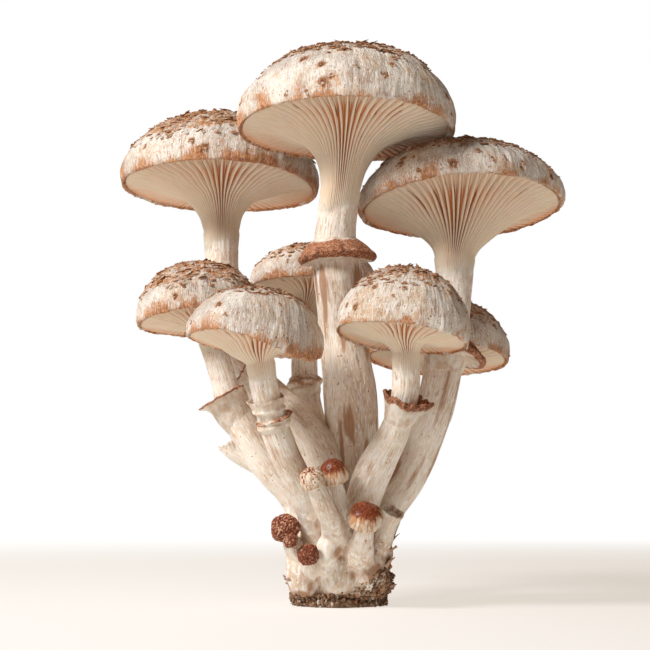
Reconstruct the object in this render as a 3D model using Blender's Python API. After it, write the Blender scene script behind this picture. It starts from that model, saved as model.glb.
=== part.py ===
"""Cluster of veiled mushrooms grown from one trimmed base, with a crust of soil under it.

Lengths are in metres. The tables below give real sizes in millimetres and degrees, in the part's own frame: the
origin is the middle of the underside, +Z is up and the front faces -Y.
"""

import math
import random

import bmesh
import bpy
from mathutils import Matrix, Vector

MM = 0.001
GAP = 0.35 * MM  # clearance between two pieces that meet
SHARP_ANGLE = 50  # edges bent more than this stay sharp

# Each mushroom: the middle, radius and rise of its cap above its rim, how far the cap leans, and its stem as
# x, y, z, radius from the neck, where the gills end, down to the root inside the base.
MUSHROOMS = {
    "center_tall": {
        "middle": (2.5, -17, 161),
        "radius": 36.8,
        "rise": 26.2,
        "lean_back": 4.5,
        "lean_right": 0.5,
        "stem": [
            (0.5, -17.5, 139.5, 6.6),
            (-1.5, -14, 123, 7.0),
            (-0.5, -13, 111, 8.1),
            (1.5, -10, 90, 8.0),
            (4, -7, 67, 9.2),
            (4.5, -5, 45, 7.8),
            (3, -3, 20, 6.0),
        ],
    },
    "left_tall": {
        "middle": (-44.4, 43, 153.5),
        "radius": 38,
        "rise": 25.4,
        "lean_back": 3.5,
        "lean_right": 1.5,
        "stem": [
            (-43.7, 42, 135.5, 6.6),
            (-43.3, 41, 120, 6.4),
            (-40, 35, 101, 6.2),
            (-33.5, 23, 82, 6.1),
            (-22, 8, 70, 6.0),
            (-11, -6, 59, 6.4),
            (-4, -10, 45, 6.2),
            (-1, -4, 20, 5.0),
        ],
    },
    "right_tall": {
        "middle": (42.5, -1, 137),
        "radius": 35.5,
        "rise": 20,
        "lean_back": 8,
        "lean_right": -2.5,
        "stem": [
            (40, -3.5, 118.5, 6.9),
            (39.3, -5, 107, 6.2),
            (37.5, -9, 92.5, 6.2),
            (35, -12, 79.5, 6.4),
            (31.5, -12, 64, 6.1),
            (24, -7, 45, 6.2),
            (16.5, -5, 33, 5.8),
            (10, -1, 18, 5.2),
        ],
    },
    "left_mid": {
        "middle": (-48, -3, 97),
        "radius": 21.7,
        "rise": 19.5,
        "lean_back": 6.5,
        "lean_right": -5,
        "stem": [
            (-43.6, -4, 90.5, 4.7),
            (-39.5, -4, 76, 4.6),
            (-36.3, -4, 67, 5.5),
            (-28, -4, 52.5, 5.9),
            (-21.5, -4, 43.7, 5.6),
            (-14.8, -3.5, 35, 4.9),
            (-7, -2, 18, 4.8),
        ],
    },
    "left_front": {
        "middle": (-27, -41, 85.5),
        "radius": 22.5,
        "rise": 16.6,
        "lean_back": 5,
        "lean_right": 6.5,
        "stem": [
            (-25.5, -40.5, 79, 4.6),
            (-24, -38.5, 71, 4.4),
            (-22, -36, 62, 4.6),
            (-17.5, -31.5, 49.5, 4.7),
            (-11.5, -24, 37, 4.7),
            (-5, -10, 19, 4.5),
        ],
    },
    "back_mid": {
        "middle": (-9.2, 30, 113),
        "radius": 22.7,
        "rise": 15,
        "lean_back": 5,
        "lean_right": -1,
        "stem": [
            (-11.8, 29.5, 103.5, 4.5),
            (-12.4, 29, 88, 4.5),
            (-11.5, 27, 71, 5.0),
            (-6.5, 21, 53, 5.3),
            (-2, 13, 37, 5.3),
            (0, 6, 18, 5.0),
        ],
    },
    "right_front": {
        "middle": (20, -40, 87.5),
        "radius": 21.6,
        "rise": 21.6,
        "lean_back": 7,
        "lean_right": 7.5,
        "stem": [
            (21, -40, 82, 4.5),
            (20.8, -38, 69, 4.2),
            (17.5, -33.5, 57, 4.5),
            (11.5, -26, 45.5, 5.8),
            (7.5, -17, 34, 5.7),
            (5, -6, 18, 5.0),
        ],
    },
    "right_back": {
        "middle": (36, 24, 86.5),
        "radius": 26,
        "rise": 21,
        "lean_back": 7.5,
        "lean_right": 3,
        "stem": [
            (35.5, 22, 79, 5.1),
            (33.8, 21.5, 67, 5.0),
            (28, 17.5, 49, 5.4),
            (17.5, 9, 32, 4.8),
            (8.5, 4, 17, 4.6),
        ],
    },
}

# The large caps get more sides and gill ridges than the others.
LARGE_RADIUS = 30
SIDES = {True: (24, 30), False: (16, 18)}

# A cap's outside from the crown to the inner lip of its inrolled margin, as shares of its radius and rise.
CAP_PROFILE = [
    (0.22, 0.985),
    (0.42, 0.925),
    (0.60, 0.825),
    (0.76, 0.68),
    (0.90, 0.47),
    (1.0, 0.17),
    (0.95, -0.04),
    (0.895, 0.0),
]
LIP = CAP_PROFILE[-1][0]
SCALE_ROWS = (2, 2, 3, 4)  # from the crown down, every how many faces of a row carry a scale
HOLLOW = 0.15  # height of the cap's conical underside, as a share of the radius
SCALE_HEIGHT = 1.0  # millimetres above the skin
SCALE_INSET = 0.2  # of the face that a scale stands on
SCALE_VARY = (0.7, 1.3)
SCALE_SLIDE = 0.8  # how far a scale's tip leans to the rim, as a share of its height
SWELL = 0.03  # how far a cap's outline leaves a circle, as a share of its radius
LIFT = 0.018  # how far its margin waves up and down

# A gill set's underside from the rim to the neck, as shares of the reach past the stem and of the depth, with the
# height of the ridges there.
GILL_PROFILE = [
    (0.64, 0.03, 1.0),
    (0.40, 0.13, 1.5),
    (0.20, 0.35, 1.7),
    (0.06, 0.66, 1.0),
    (0.0, 1.0, 0.5),
]
RIM_RIDGE = 0.6  # millimetres, as is the wall over it
RIM_WALL = 0.5
UNDER_SHARE = 0.3  # ridges hang down where more of the reach than this is left, and stand out where less is

# Torn veil collars: the stem, the height, how far they reach from the stem's axis, their thickness, the length of
# the skirt below, and how far the rim turns up.
COLLARS = [
    ("center_tall", 120, 13.5, 3.6, 8, -0.5),
    ("left_tall", 77, 8.2, 1.4, 4, 0.5),
    ("right_tall", 87, 10.8, 2.2, 9, 0.8),
    ("left_mid", 70, 8.6, 1.3, 7, 2.0),
    ("left_front", 66.5, 6.9, 1.3, 4, 0.8),
    ("left_front", 61.5, 7.2, 1.2, 4, 0.8),
    ("back_mid", 78, 6.6, 2.4, 5, 0.3),
    ("right_front", 66, 7.8, 1.8, 6, 1.8),
]

COLLAR_ROOT = 1.2  # how far a collar reaches into its stem
COLLAR_SWELL = 0.3
TEAR_OUT = 0.09  # of the reach
TEAR_UP = 0.8
STEM_OVAL = 0.05
STEM_RIBS = 0.03

# Stems of the buds and of one stump, from the top down to the root inside the base.
SHOOTS = {
    "stump": [
        (-37.5, -2, 55, 4.4),
        (-34, -2, 50.5, 3.2),
        (-21.2, -1, 42.5, 3.1),
        (-14.5, -1, 32, 3.1),
        (-9, 0, 22, 3.1),
    ],
    "spotted": [(-8.2, -38.7, 40.2, 3.2), (-4.5, -33, 32.5, 3.5), (-1.5, -22, 24, 3.4), (0, -12, 17, 3.4)],
    "round": [(-1.5, -30.8, 41, 2.8), (-0.2, -27, 34, 2.9), (1.5, -20, 25, 3.0), (3, -10, 18, 3.0)],
    "bell": [(7.8, -30.6, 27.9, 3.4), (7.2, -25, 21.5, 3.8), (6, -14, 14, 4.0)],
    "cup": [(17.5, -20, 31.5, 4.0), (16, -18, 28, 2.9), (13.4, -14, 21, 3.6), (9, -7, 12, 4.3)],
    "rough": [(-16.9, -19.2, 24.2, 2.9), (-14.5, -15, 19, 3.4), (-9, -8, 14, 3.6)],
    "tiny": [(-15.4, -27.4, 21.4, 1.5), (-14.4, -23.5, 18.8, 1.8), (-9, -12, 14, 2.2)],
    "ball": [(-10.2, -25.4, 16.8, 2.2), (-10.2, -20, 13.2, 2.8), (-7, -10, 11, 3.2)],
    "knob": [(-5.2, -25.5, 24, 1.8), (-5.4, -23.6, 21.5, 2.8), (-5.7, -19, 16, 2.9), (-4, -10, 12, 3.2)],
}

# Caps of the buds that have one, named as the stem under them: radius, rise and scale height.
BUD_CAPS = {
    "spotted": (4.3, 5.2, 0.5),
    "round": (4.5, 6.6, 0.35),
    "bell": (5.8, 6.4, 0.0),
    "rough": (4.6, 6.4, 0.9),
    "tiny": (2.3, 3.4, 0.0),
    "ball": (3.4, 4.8, 0.8),
}
BUTTON_PROFILE = [(0.45, 0.93), (0.80, 0.72), (1.0, 0.40), (0.95, 0.14), (0.72, 0.0)]
BUTTON_SIDES = 10

# The base mass, as height and radius from the underside up, and its lobes as x, y, z, radius.
BASE = [(3.4, 11.0), (6.0, 13.2), (10, 15.8), (17, 16.6), (24, 16.4), (30, 14.4), (35, 10.5)]
BASE_LENGTHEN = 1.1  # the base is this much longer front to back
BASE_SIDES = 20
LOBES = [(-11, -12, 12.5, 6.6), (-2, -15, 12, 6.0), (8, -13, 13.5, 7.2), (-12, 9, 15, 6.5)]

SOIL_HEIGHT = 3.0
SOIL_RADIUS = 15.6
CRUMBS = 18

COLOURS = {
    "stem_cluster": (0.78, 0.68, 0.55),
    "cap": (0.66, 0.46, 0.31),
    "gills": (0.80, 0.64, 0.48),
    "bud": (0.38, 0.15, 0.07),
    "soil": (0.09, 0.05, 0.03),
}


def clear_scene():
    for old in list(bpy.data.objects):
        bpy.data.objects.remove(old)


def finish(name):
    """The matt material of one kind of piece, made once."""
    found = bpy.data.materials.get(name)
    if found:
        return found
    made = bpy.data.materials.new(name)
    made.use_nodes = True
    shader = made.node_tree.nodes["Principled BSDF"]
    shader.inputs["Base Color"].default_value = (*COLOURS[name], 1)
    shader.inputs["Roughness"].default_value = 0.75
    shader.inputs["Metallic"].default_value = 0
    return made


def add_object(name, bm, kind):
    bmesh.ops.recalc_face_normals(bm, faces=bm.faces)
    mesh = bpy.data.meshes.new(name)
    bm.to_mesh(mesh)
    bm.free()
    mesh.shade_smooth()
    mesh.set_sharp_from_angle(angle=math.radians(SHARP_ANGLE))
    mesh.materials.append(finish(kind))
    made = bpy.data.objects.new(name, mesh)
    bpy.context.scene.collection.objects.link(made)
    return made


def skin(rings):
    """A closed mesh through rings of points. A ring of one point is a tip, and any other end is filled flat."""
    bm = bmesh.new()
    loops = [[bm.verts.new(point) for point in ring] for ring in rings]
    for upper, lower in zip(loops, loops[1:]):
        count = max(len(upper), len(lower))
        for side in range(count):
            corners = [
                upper[side % len(upper)],
                upper[(side + 1) % len(upper)],
                lower[(side + 1) % len(lower)],
                lower[side % len(lower)],
            ]
            bm.faces.new(dict.fromkeys(corners))
    for end in (loops[0], loops[-1]):
        if len(end) > 1:
            bm.faces.new(end)
    bmesh.ops.recalc_face_normals(bm, faces=bm.faces)
    return bm


def lean(back, right):
    """The turn of a cap whose axis leans away from the front and to the right, in degrees."""
    return (Matrix.Rotation(math.radians(-back), 3, "X") @ Matrix.Rotation(math.radians(right), 3, "Y")).to_4x4()


def waves(seed):
    """How far a cap's outline swells and its margin lifts, as two functions of the angle round it."""
    draw = random.Random(seed)
    phases = [draw.uniform(0, math.tau) for _ in range(4)]

    def swell(angle):
        return 1 + SWELL * (math.sin(2 * angle + phases[0]) + 0.6 * math.sin(3 * angle + phases[1])) / 1.6

    def lift(angle):
        return LIFT * (math.sin(2 * angle + phases[2]) + math.sin(3 * angle + phases[3])) / 2

    return swell, lift


def cap_frame(shape):
    return Matrix.Translation(Vector(shape["middle"]) * MM) @ lean(shape["lean_back"], shape["lean_right"])


def cap_ring(frame, size, reach, height, sides, swell, lift):
    """Points round a cap's axis at one distance and height, following the cap's own waves."""
    points = []
    for side in range(sides):
        angle = side * math.tau / sides
        out = reach * swell(angle)
        up = height + lift(angle) * size * (reach / size) ** 3
        points.append(frame @ Vector((out * math.cos(angle), out * math.sin(angle), up)))
    return points


def raise_scales(bm, frame, draw, height, sides):
    """Turns faces of the cap's upper skin into small tufts that lean to the rim, closest together at the crown."""
    bm.faces.ensure_lookup_table()
    chosen = []
    for row, every in enumerate(SCALE_ROWS):
        shift = draw.randrange(every)
        # The first ring of faces is the crown's, and has no scales.
        faces = bm.faces[sides * (row + 1) : sides * (row + 2)]
        chosen += faces[shift::every]
    bmesh.ops.inset_individual(bm, faces=chosen, thickness=SCALE_INSET, use_relative_offset=True)
    for face in chosen:
        normal = face.normal.copy()
        middle = face.calc_center_median()
        downhill = (middle - frame.translation).cross(normal).cross(normal)
        downhill *= -1 if downhill.dot(middle - frame.translation) < 0 else 1
        tip = bmesh.ops.poke(bm, faces=[face])["verts"][0]
        tip.co += height * (normal * draw.uniform(*SCALE_VARY) + downhill.normalized() * SCALE_SLIDE)


def cap(name, shape):
    """A scaly dome with an inrolled margin and a conical underside over its gills."""
    size = shape["radius"] * MM
    rise = shape["rise"] * MM
    sides, _ = SIDES[shape["radius"] > LARGE_RADIUS]
    frame = cap_frame(shape)
    swell, lift = waves(name)
    rings = [[frame @ Vector((0, 0, rise))]]
    for out, up in CAP_PROFILE:
        rings.append(cap_ring(frame, size, out * size, up * rise, sides, swell, lift))
    rings.append([frame @ Vector((0, 0, HOLLOW * size))])
    bm = skin(rings)
    raise_scales(bm, frame, random.Random(name), SCALE_HEIGHT * MM, sides)
    return add_object("cap_" + name, bm, "cap")


def gills(name, shape):
    """Gills as a fluted funnel that runs from the cap's rim down to the neck."""
    size = shape["radius"] * MM
    cap_sides, ridges = SIDES[shape["radius"] > LARGE_RADIUS]
    sides = 2 * ridges
    frame = cap_frame(shape)
    swell, lift = waves(name)
    neck = shape["stem"][0]
    end = frame.inverted() @ (Vector(neck[:3]) * MM)
    neck_radius = neck[3] * MM
    rim = LIP * size * math.cos(math.pi / cap_sides) - GAP
    rim_top = HOLLOW * size * (1 - rim / (LIP * size)) - GAP
    rings = [[frame @ Vector((0, 0, HOLLOW * size - GAP))]]
    rings.append(cap_ring(frame, size, rim, rim_top, sides, swell, lift))
    # The lower rings alternate between a ridge and a valley, and slide sideways towards the neck.
    rows = [(1.0, 0.0, RIM_RIDGE), *GILL_PROFILE]
    for share, fall, ridge in rows:
        reach = neck_radius + share * (rim - neck_radius)
        height = rim_top - RIM_WALL * MM + fall * (end.z - rim_top + RIM_WALL * MM)
        shift = Matrix.Translation((end.x * fall, end.y * fall, 0))
        crest = cap_ring(frame @ shift, size, reach, height - ridge * MM * (share > UNDER_SHARE), sides, swell, lift)
        inset = ridge * MM * (share <= UNDER_SHARE)
        valley = cap_ring(frame @ shift, size, reach - inset, height, sides, swell, lift)
        rings.append([crest[side] if side % 2 else valley[side] for side in range(sides)])
    return add_object("gills_" + name, skin(rings), "gills")


def smooth_path(points, steps):
    """Places and radii along a smooth curve through points given as x, y, z, radius in millimetres."""
    knots = [Vector(point) * MM for point in points]
    knots = [2 * knots[0] - knots[1], *knots, 2 * knots[-1] - knots[-2]]
    found = []
    for a, b, c, d in zip(knots, knots[1:], knots[2:], knots[3:]):
        for step in range(steps):
            t = step / steps
            bend = (2 * a - 5 * b + 4 * c - d) * t**2 + (3 * b - a - 3 * c + d) * t**3
            found.append((2 * b + (c - a) * t + bend) / 2)
    return [*found, knots[-2]]


def path_frames(path, first=None):
    """A frame at each place of a path, its +Z along the path, turned as little as possible from the last."""
    frames = []
    turn = None
    for index, spot in enumerate(path):
        before = path[max(index - 1, 0)].xyz
        after = path[min(index + 1, len(path) - 1)].xyz
        ahead = first if first and index == 0 else (after - before).normalized()
        if turn is None:
            turn = ahead.to_track_quat("Z", "Y")
        else:
            turn = (turn @ Vector((0, 0, 1))).rotation_difference(ahead) @ turn
        frames.append(Matrix.Translation(spot.xyz) @ turn.to_matrix().to_4x4())
    return frames


def shoot_axis(name):
    """The direction that a shoot's top faces."""
    top, below = (Vector(point[:3]) for point in SHOOTS[name][:2])
    return (top - below).normalized()


def stem_tube(path, seed, sides=10, first=None):
    """A stem with a slightly uneven round section."""
    draw = random.Random(seed)
    phases = [draw.uniform(0, math.tau) for _ in range(2)]
    rings = []
    for index, (spot, frame) in enumerate(zip(path, path_frames(path, first))):
        ring = []
        for side in range(sides):
            angle = side * math.tau / sides
            oval = STEM_OVAL * math.sin(2 * angle + phases[0] + 0.4 * index)
            ribs = STEM_RIBS * math.sin(5 * angle + phases[1])
            out = spot.w * (1 + (oval + ribs) * (index > 0))
            ring.append(frame @ Vector((out * math.cos(angle), out * math.sin(angle), 0)))
        rings.append(ring)
    return skin(rings)


def collar(path, height, reach, thickness, skirt, upturn, seed, sides=12):
    """A torn ring of veil round a stem: a skirt that flares to a ragged rim and closes back above it."""
    frames = path_frames(path)
    index = min(range(len(path)), key=lambda i: abs(path[i].z - height * MM))
    spot = path[index]
    frame = frames[index] @ Matrix.Rotation(math.pi, 4, "X")  # +Z up the stem
    frame.translation += frame.to_3x3() @ Vector((0, 0, (height * MM - spot.z) / frame.to_3x3().col[2].z))
    stem = spot.w / MM
    core = stem - COLLAR_ROOT
    profile = [
        (core, -skirt, 0),
        (stem + COLLAR_SWELL, -skirt, 0),
        (0.55 * stem + 0.45 * reach, -0.4 * skirt, 0.3),
        (reach, upturn - thickness / 2, 1),
        (reach + 0.2, upturn + thickness / 2, 1),
        (core, thickness * 0.75, 0),
    ]
    draw = random.Random(seed)
    torn = [(draw.uniform(-1, 1), draw.uniform(-1, 1)) for _ in range(sides)]
    rings = []
    for out, up, loose in profile:
        ring = []
        for side in range(sides):
            angle = side * math.tau / sides
            wide = out + TEAR_OUT * reach * loose * torn[side][0]
            high = up + TEAR_UP * loose * torn[side][1]
            ring.append(frame @ (Vector((wide * math.cos(angle), wide * math.sin(angle), high)) * MM))
        rings.append(ring)
    return skin(rings)


def base_mass():
    """The swollen foot of the cluster, with shallow folds running up it."""
    rings = []
    for height, radius in BASE:
        ring = []
        for side in range(BASE_SIDES):
            angle = side * math.tau / BASE_SIDES
            fold = 0.03 * math.sin(3 * angle + 1 + height / 9) + 0.045 * math.sin(7 * angle - height / 12)
            out = radius * MM * (1 + fold)
            ring.append(Vector((out * math.cos(angle), BASE_LENGTHEN * out * math.sin(angle), height * MM)))
        rings.append(ring)
    return skin(rings)


def ball(middle, radius, subdivisions, stretch=(1, 1, 1)):
    bm = bmesh.new()
    bmesh.ops.create_icosphere(bm, subdivisions=subdivisions, radius=radius * MM)
    bmesh.ops.scale(bm, vec=stretch, verts=bm.verts)
    bmesh.ops.translate(bm, vec=Vector(middle) * MM, verts=bm.verts)
    return bm


def fuse(name, shapes, kind):
    """One object from closed meshes that overlap each other, joined by a Boolean union."""
    parts = [add_object(f"{name}_shape_{number}", bm, kind) for number, bm in enumerate(shapes)]
    body = parts[0]
    others = bpy.data.collections.new(name + "_shapes")
    for part in parts[1:]:
        others.objects.link(part)
    union = body.modifiers.new("Union", "BOOLEAN")
    union.operation = "UNION"
    union.operand_type = "COLLECTION"
    union.collection = others
    union.solver = "EXACT"
    graph = bpy.context.evaluated_depsgraph_get()
    joined = bmesh.new()
    joined.from_mesh(body.evaluated_get(graph).to_mesh())
    for part in parts:
        bpy.data.objects.remove(part)
    bpy.data.collections.remove(others)
    return add_object(name, joined, kind)


def stem_cluster():
    """Base mass, stems, collars, stump and bud stems, grown as one."""
    shapes = [base_mass()]
    shapes += [ball(lobe[:3], lobe[3], 2, (1, 1, 1.25)) for lobe in LOBES]
    paths = {}
    for name, shape in MUSHROOMS.items():
        down = -lean(shape["lean_back"], shape["lean_right"]).col[2].xyz
        path = smooth_path(shape["stem"], 2)
        path[0].xyz += down * GAP
        paths[name] = path
        shapes.append(stem_tube(path, name, first=down))
    for number, (name, *sizes) in enumerate(COLLARS):
        shapes.append(collar(paths[name], *sizes, seed=f"collar {number}"))
    for name, points in SHOOTS.items():
        shapes.append(stem_tube(smooth_path(points, 2), name, sides=7, first=-shoot_axis(name)))
    return fuse("stem_cluster", shapes, "stem_cluster")


def bud_cap(name, radius, rise, scale_height):
    """An unopened cap over the flat top of its stem."""
    top = Vector(SHOOTS[name][0][:3]) * MM
    axis = shoot_axis(name)
    frame = Matrix.Translation(top + axis * GAP) @ axis.to_track_quat("Z", "Y").to_matrix().to_4x4()
    swell, _ = waves(name)
    size = radius * MM
    high = rise * MM
    rings = [[frame @ Vector((0, 0, high))]]
    for out, up in BUTTON_PROFILE:
        rings.append(cap_ring(frame, size, out * size, up * high, BUTTON_SIDES, swell, lambda angle: 0))
    bm = skin(rings)
    if scale_height:
        raise_scales(bm, frame, random.Random(name), scale_height * MM, BUTTON_SIDES)
    return add_object("bud_cap_" + name, bm, "bud")


def soil_crust():
    """A thin flat-bottomed crust with crumbs standing round its edge, clear of the base mass above it."""
    draw = random.Random("soil")
    rings = []
    for height, share in ((0, 1.0), (0.5 * SOIL_HEIGHT, 1.04), (SOIL_HEIGHT, 0.96)):
        ring = []
        for side in range(BASE_SIDES):
            angle = side * math.tau / BASE_SIDES
            out = SOIL_RADIUS * MM * share * (1 + draw.uniform(-0.04, 0.04))
            ring.append(Vector((out * math.cos(angle), BASE_LENGTHEN * out * math.sin(angle), height * MM)))
        rings.append(ring)
    shapes = [skin(rings)]
    for number in range(CRUMBS):
        angle = (number + draw.uniform(-0.3, 0.3)) * math.tau / CRUMBS
        size = draw.uniform(1.0, 1.7)
        out = SOIL_RADIUS * draw.uniform(0.93, 1.02)
        high = size + draw.uniform(0.1, 1.3)
        middle = (out * math.cos(angle), BASE_LENGTHEN * out * math.sin(angle), high)
        stretch = [draw.uniform(0.8, 1.2) for _ in range(2)]
        shapes.append(ball(middle, size, 1, (*stretch, 0.9)))
    return fuse("soil_crust", shapes, "soil")


def main():
    clear_scene()
    soil_crust()
    stem_cluster()
    for name, shape in MUSHROOMS.items():
        cap(name, shape)
        gills(name, shape)
    for name, sizes in BUD_CAPS.items():
        bud_cap(name, *sizes)


main()
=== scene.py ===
"""Looks of the mushroom cluster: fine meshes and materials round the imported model.

Lengths in the tables and in the mesh code are millimetres, in the model's own frame.
They turn into metres where a piece is added to the scene.
"""

import itertools
import math
import random
from collections import namedtuple

import bpy
import numpy as np
from mathutils import Matrix, Vector


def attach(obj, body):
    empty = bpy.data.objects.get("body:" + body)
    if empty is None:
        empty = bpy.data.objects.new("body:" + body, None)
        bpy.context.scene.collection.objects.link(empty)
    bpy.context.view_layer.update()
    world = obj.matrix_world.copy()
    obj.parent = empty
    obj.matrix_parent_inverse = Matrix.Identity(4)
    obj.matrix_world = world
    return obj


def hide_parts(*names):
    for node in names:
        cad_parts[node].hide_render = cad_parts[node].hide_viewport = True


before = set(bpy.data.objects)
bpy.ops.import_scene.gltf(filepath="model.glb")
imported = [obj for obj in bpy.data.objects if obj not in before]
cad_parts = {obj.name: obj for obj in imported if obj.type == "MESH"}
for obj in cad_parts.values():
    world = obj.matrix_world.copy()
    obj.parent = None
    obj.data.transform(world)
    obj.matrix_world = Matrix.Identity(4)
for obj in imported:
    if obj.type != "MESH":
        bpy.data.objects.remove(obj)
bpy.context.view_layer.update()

MM = 0.001
TAU = math.tau

# Each mushroom as the model has it: the middle, radius and rise of its cap, how many degrees the cap leans
# back and to the right, and its stem as x, y, z and radius from the neck down to the root.
Mushroom = namedtuple("Mushroom", "middle radius rise lean_back lean_right stem")
MUSHROOMS = {
    "center_tall": Mushroom((2.5, -17, 161), 36.8, 26.2, 4.5, 0.5, [
        (0.5, -17.5, 139.5, 6.6), (-1.5, -14, 123, 7.0), (-0.5, -13, 111, 8.1), (1.5, -10, 90, 8.0),
        (4, -7, 67, 9.2), (4.5, -5, 45, 7.8), (3, -3, 20, 6.0),
    ]),
    "left_tall": Mushroom((-44.4, 43, 153.5), 38, 25.4, 3.5, 1.5, [
        (-43.7, 42, 135.5, 6.6), (-43.3, 41, 120, 6.4), (-40, 35, 101, 6.2), (-33.5, 23, 82, 6.1),
        (-22, 8, 70, 6.0), (-11, -6, 59, 6.4), (-4, -10, 45, 6.2), (-1, -4, 20, 5.0),
    ]),
    "right_tall": Mushroom((42.5, -1, 137), 35.5, 20, 8, -2.5, [
        (40, -3.5, 118.5, 6.9), (39.3, -5, 107, 6.2), (37.5, -9, 92.5, 6.2), (35, -12, 79.5, 6.4),
        (31.5, -12, 64, 6.1), (24, -7, 45, 6.2), (16.5, -5, 33, 5.8), (10, -1, 18, 5.2),
    ]),
    "left_mid": Mushroom((-48, -3, 97), 21.7, 19.5, 6.5, -5, [
        (-43.6, -4, 90.5, 4.7), (-39.5, -4, 76, 4.6), (-36.3, -4, 67, 5.5), (-28, -4, 52.5, 5.9),
        (-21.5, -4, 43.7, 5.6), (-14.8, -3.5, 35, 4.9), (-7, -2, 18, 4.8),
    ]),
    "left_front": Mushroom((-27, -41, 85.5), 22.5, 16.6, 5, 6.5, [
        (-25.5, -40.5, 79, 4.6), (-24, -38.5, 71, 4.4), (-22, -36, 62, 4.6), (-17.5, -31.5, 49.5, 4.7),
        (-11.5, -24, 37, 4.7), (-5, -10, 19, 4.5),
    ]),
    "back_mid": Mushroom((-9.2, 30, 113), 22.7, 15, 5, -1, [
        (-11.8, 29.5, 103.5, 4.5), (-12.4, 29, 88, 4.5), (-11.5, 27, 71, 5.0), (-6.5, 21, 53, 5.3),
        (-2, 13, 37, 5.3), (0, 6, 18, 5.0),
    ]),
    "right_front": Mushroom((20, -40, 87.5), 21.6, 21.6, 7, 7.5, [
        (21, -40, 82, 4.5), (20.8, -38, 69, 4.2), (17.5, -33.5, 57, 4.5), (11.5, -26, 45.5, 5.8),
        (7.5, -17, 34, 5.7), (5, -6, 18, 5.0),
    ]),
    "right_back": Mushroom((36, 24, 86.5), 26, 21, 7.5, 3, [
        (35.5, 22, 79, 5.1), (33.8, 21.5, 67, 5.0), (28, 17.5, 49, 5.4), (17.5, 9, 32, 4.8),
        (8.5, 4, 17, 4.6),
    ]),
}
LARGE_RADIUS = 30

# Cap outline from the crown to the lip of the inrolled margin, as shares of its radius and rise.
CAP_OUTLINE = [
    (0, 1), (0.22, 0.985), (0.42, 0.925), (0.60, 0.825), (0.76, 0.68), (0.90, 0.47),
    (0.975, 0.30), (1.0, 0.16), (1.0, 0.05), (0.99, -0.03), (0.972, -0.055), (0.958, -0.02),
]
CAP_INSIDE = (0.97, 0.8, 0.4)  # places under the cap, as shares of the way out to its lip
CAP_GRID = (440, 88)  # columns and rows of a cap
LARGE_CAP_GRID = (620, 112)
LIP = 0.955  # reach of the lip, as a share of the cap's radius
HOLLOW = 0.15  # height of the cap's hollow, as a share of its radius
SWELL = 0.03  # how far the outline swells, and how far the margin lifts, as shares of the radius
LIFT = 0.018
GAP = 0.35  # between a cap and what it sits on
FULL_RADIUS = 37  # radius of the cap that the sizes of scales and gills are given for

# The gills' free edge from the rim to the neck: share of the reach past the stem, share of the depth,
# how far the edge hangs below that, and the depth of the gaps between gills.
GILL_EDGE = [
    (1.0, 0.0, 0.3, 0.9), (0.86, 0.005, 0.9, 1.8), (0.64, 0.03, 1.3, 2.2), (0.40, 0.13, 1.8, 2.8),
    (0.20, 0.35, 0.3, 2.6), (0.06, 0.66, 0.0, 1.8), (0.0, 1.0, 0.0, 0.8),
]
# The same on a cap whose gills run straight down to the stem.
STRAIGHT_EDGE = [
    (1.0, 0.0, 0.3, 0.9), (0.86, 0.03, 0.9, 1.8), (0.64, 0.14, 1.2, 2.2), (0.40, 0.37, 1.0, 2.8),
    (0.20, 0.61, 0.4, 2.6), (0.06, 0.83, 0.0, 1.8), (0.0, 1.0, 0.0, 0.8),
]
STRAIGHT = ("right_tall", "left_front")
# How far the gills at the back are raised, so that the near ones stand out before them: share of the way in
# from the rim, and millimetres.
RAISED = [(0, 0), (0.14, 0.6), (0.36, 1.7), (0.6, 2.8), (0.8, 1.6), (1, 0)]
GILL_GRID = (240, 30, 11)  # gills round a cap, rows from the rim to the neck, and rows below the neck
LARGE_GILL_GRID = (340, 38, 12)
GILL_FADE = 14  # how far the gills run down the stem below the neck
RIM_WALL = 0.5
BLADE = 0.19  # half the thickness of a gill

# How far down each cap its brown crown reaches, how strong it is, and how many tufts stand below it.
CROWNS = {
    "center_tall": (0.56, 0.80, 84),
    "left_tall": (0.76, 1.0, 30),
    "right_tall": (0.66, 0.85, 70),
    "left_mid": (0.72, 1.0, 24),
    "left_front": (0.50, 0.60, 44),
    "back_mid": (0.68, 0.85, 18),
    "right_front": (0.58, 0.90, 30),
    "right_back": (0.74, 0.90, 34),
}
SCALES = 420  # scales on a crown
LARGE_SCALES = 760
# Where a cap's margin hangs lower than the rest: degrees from +X, and millimetres.
DROOPS = {"left_front": (-48, 6.0), "center_tall": (-20, 1.5), "right_front": (-35, 0.6)}

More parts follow.
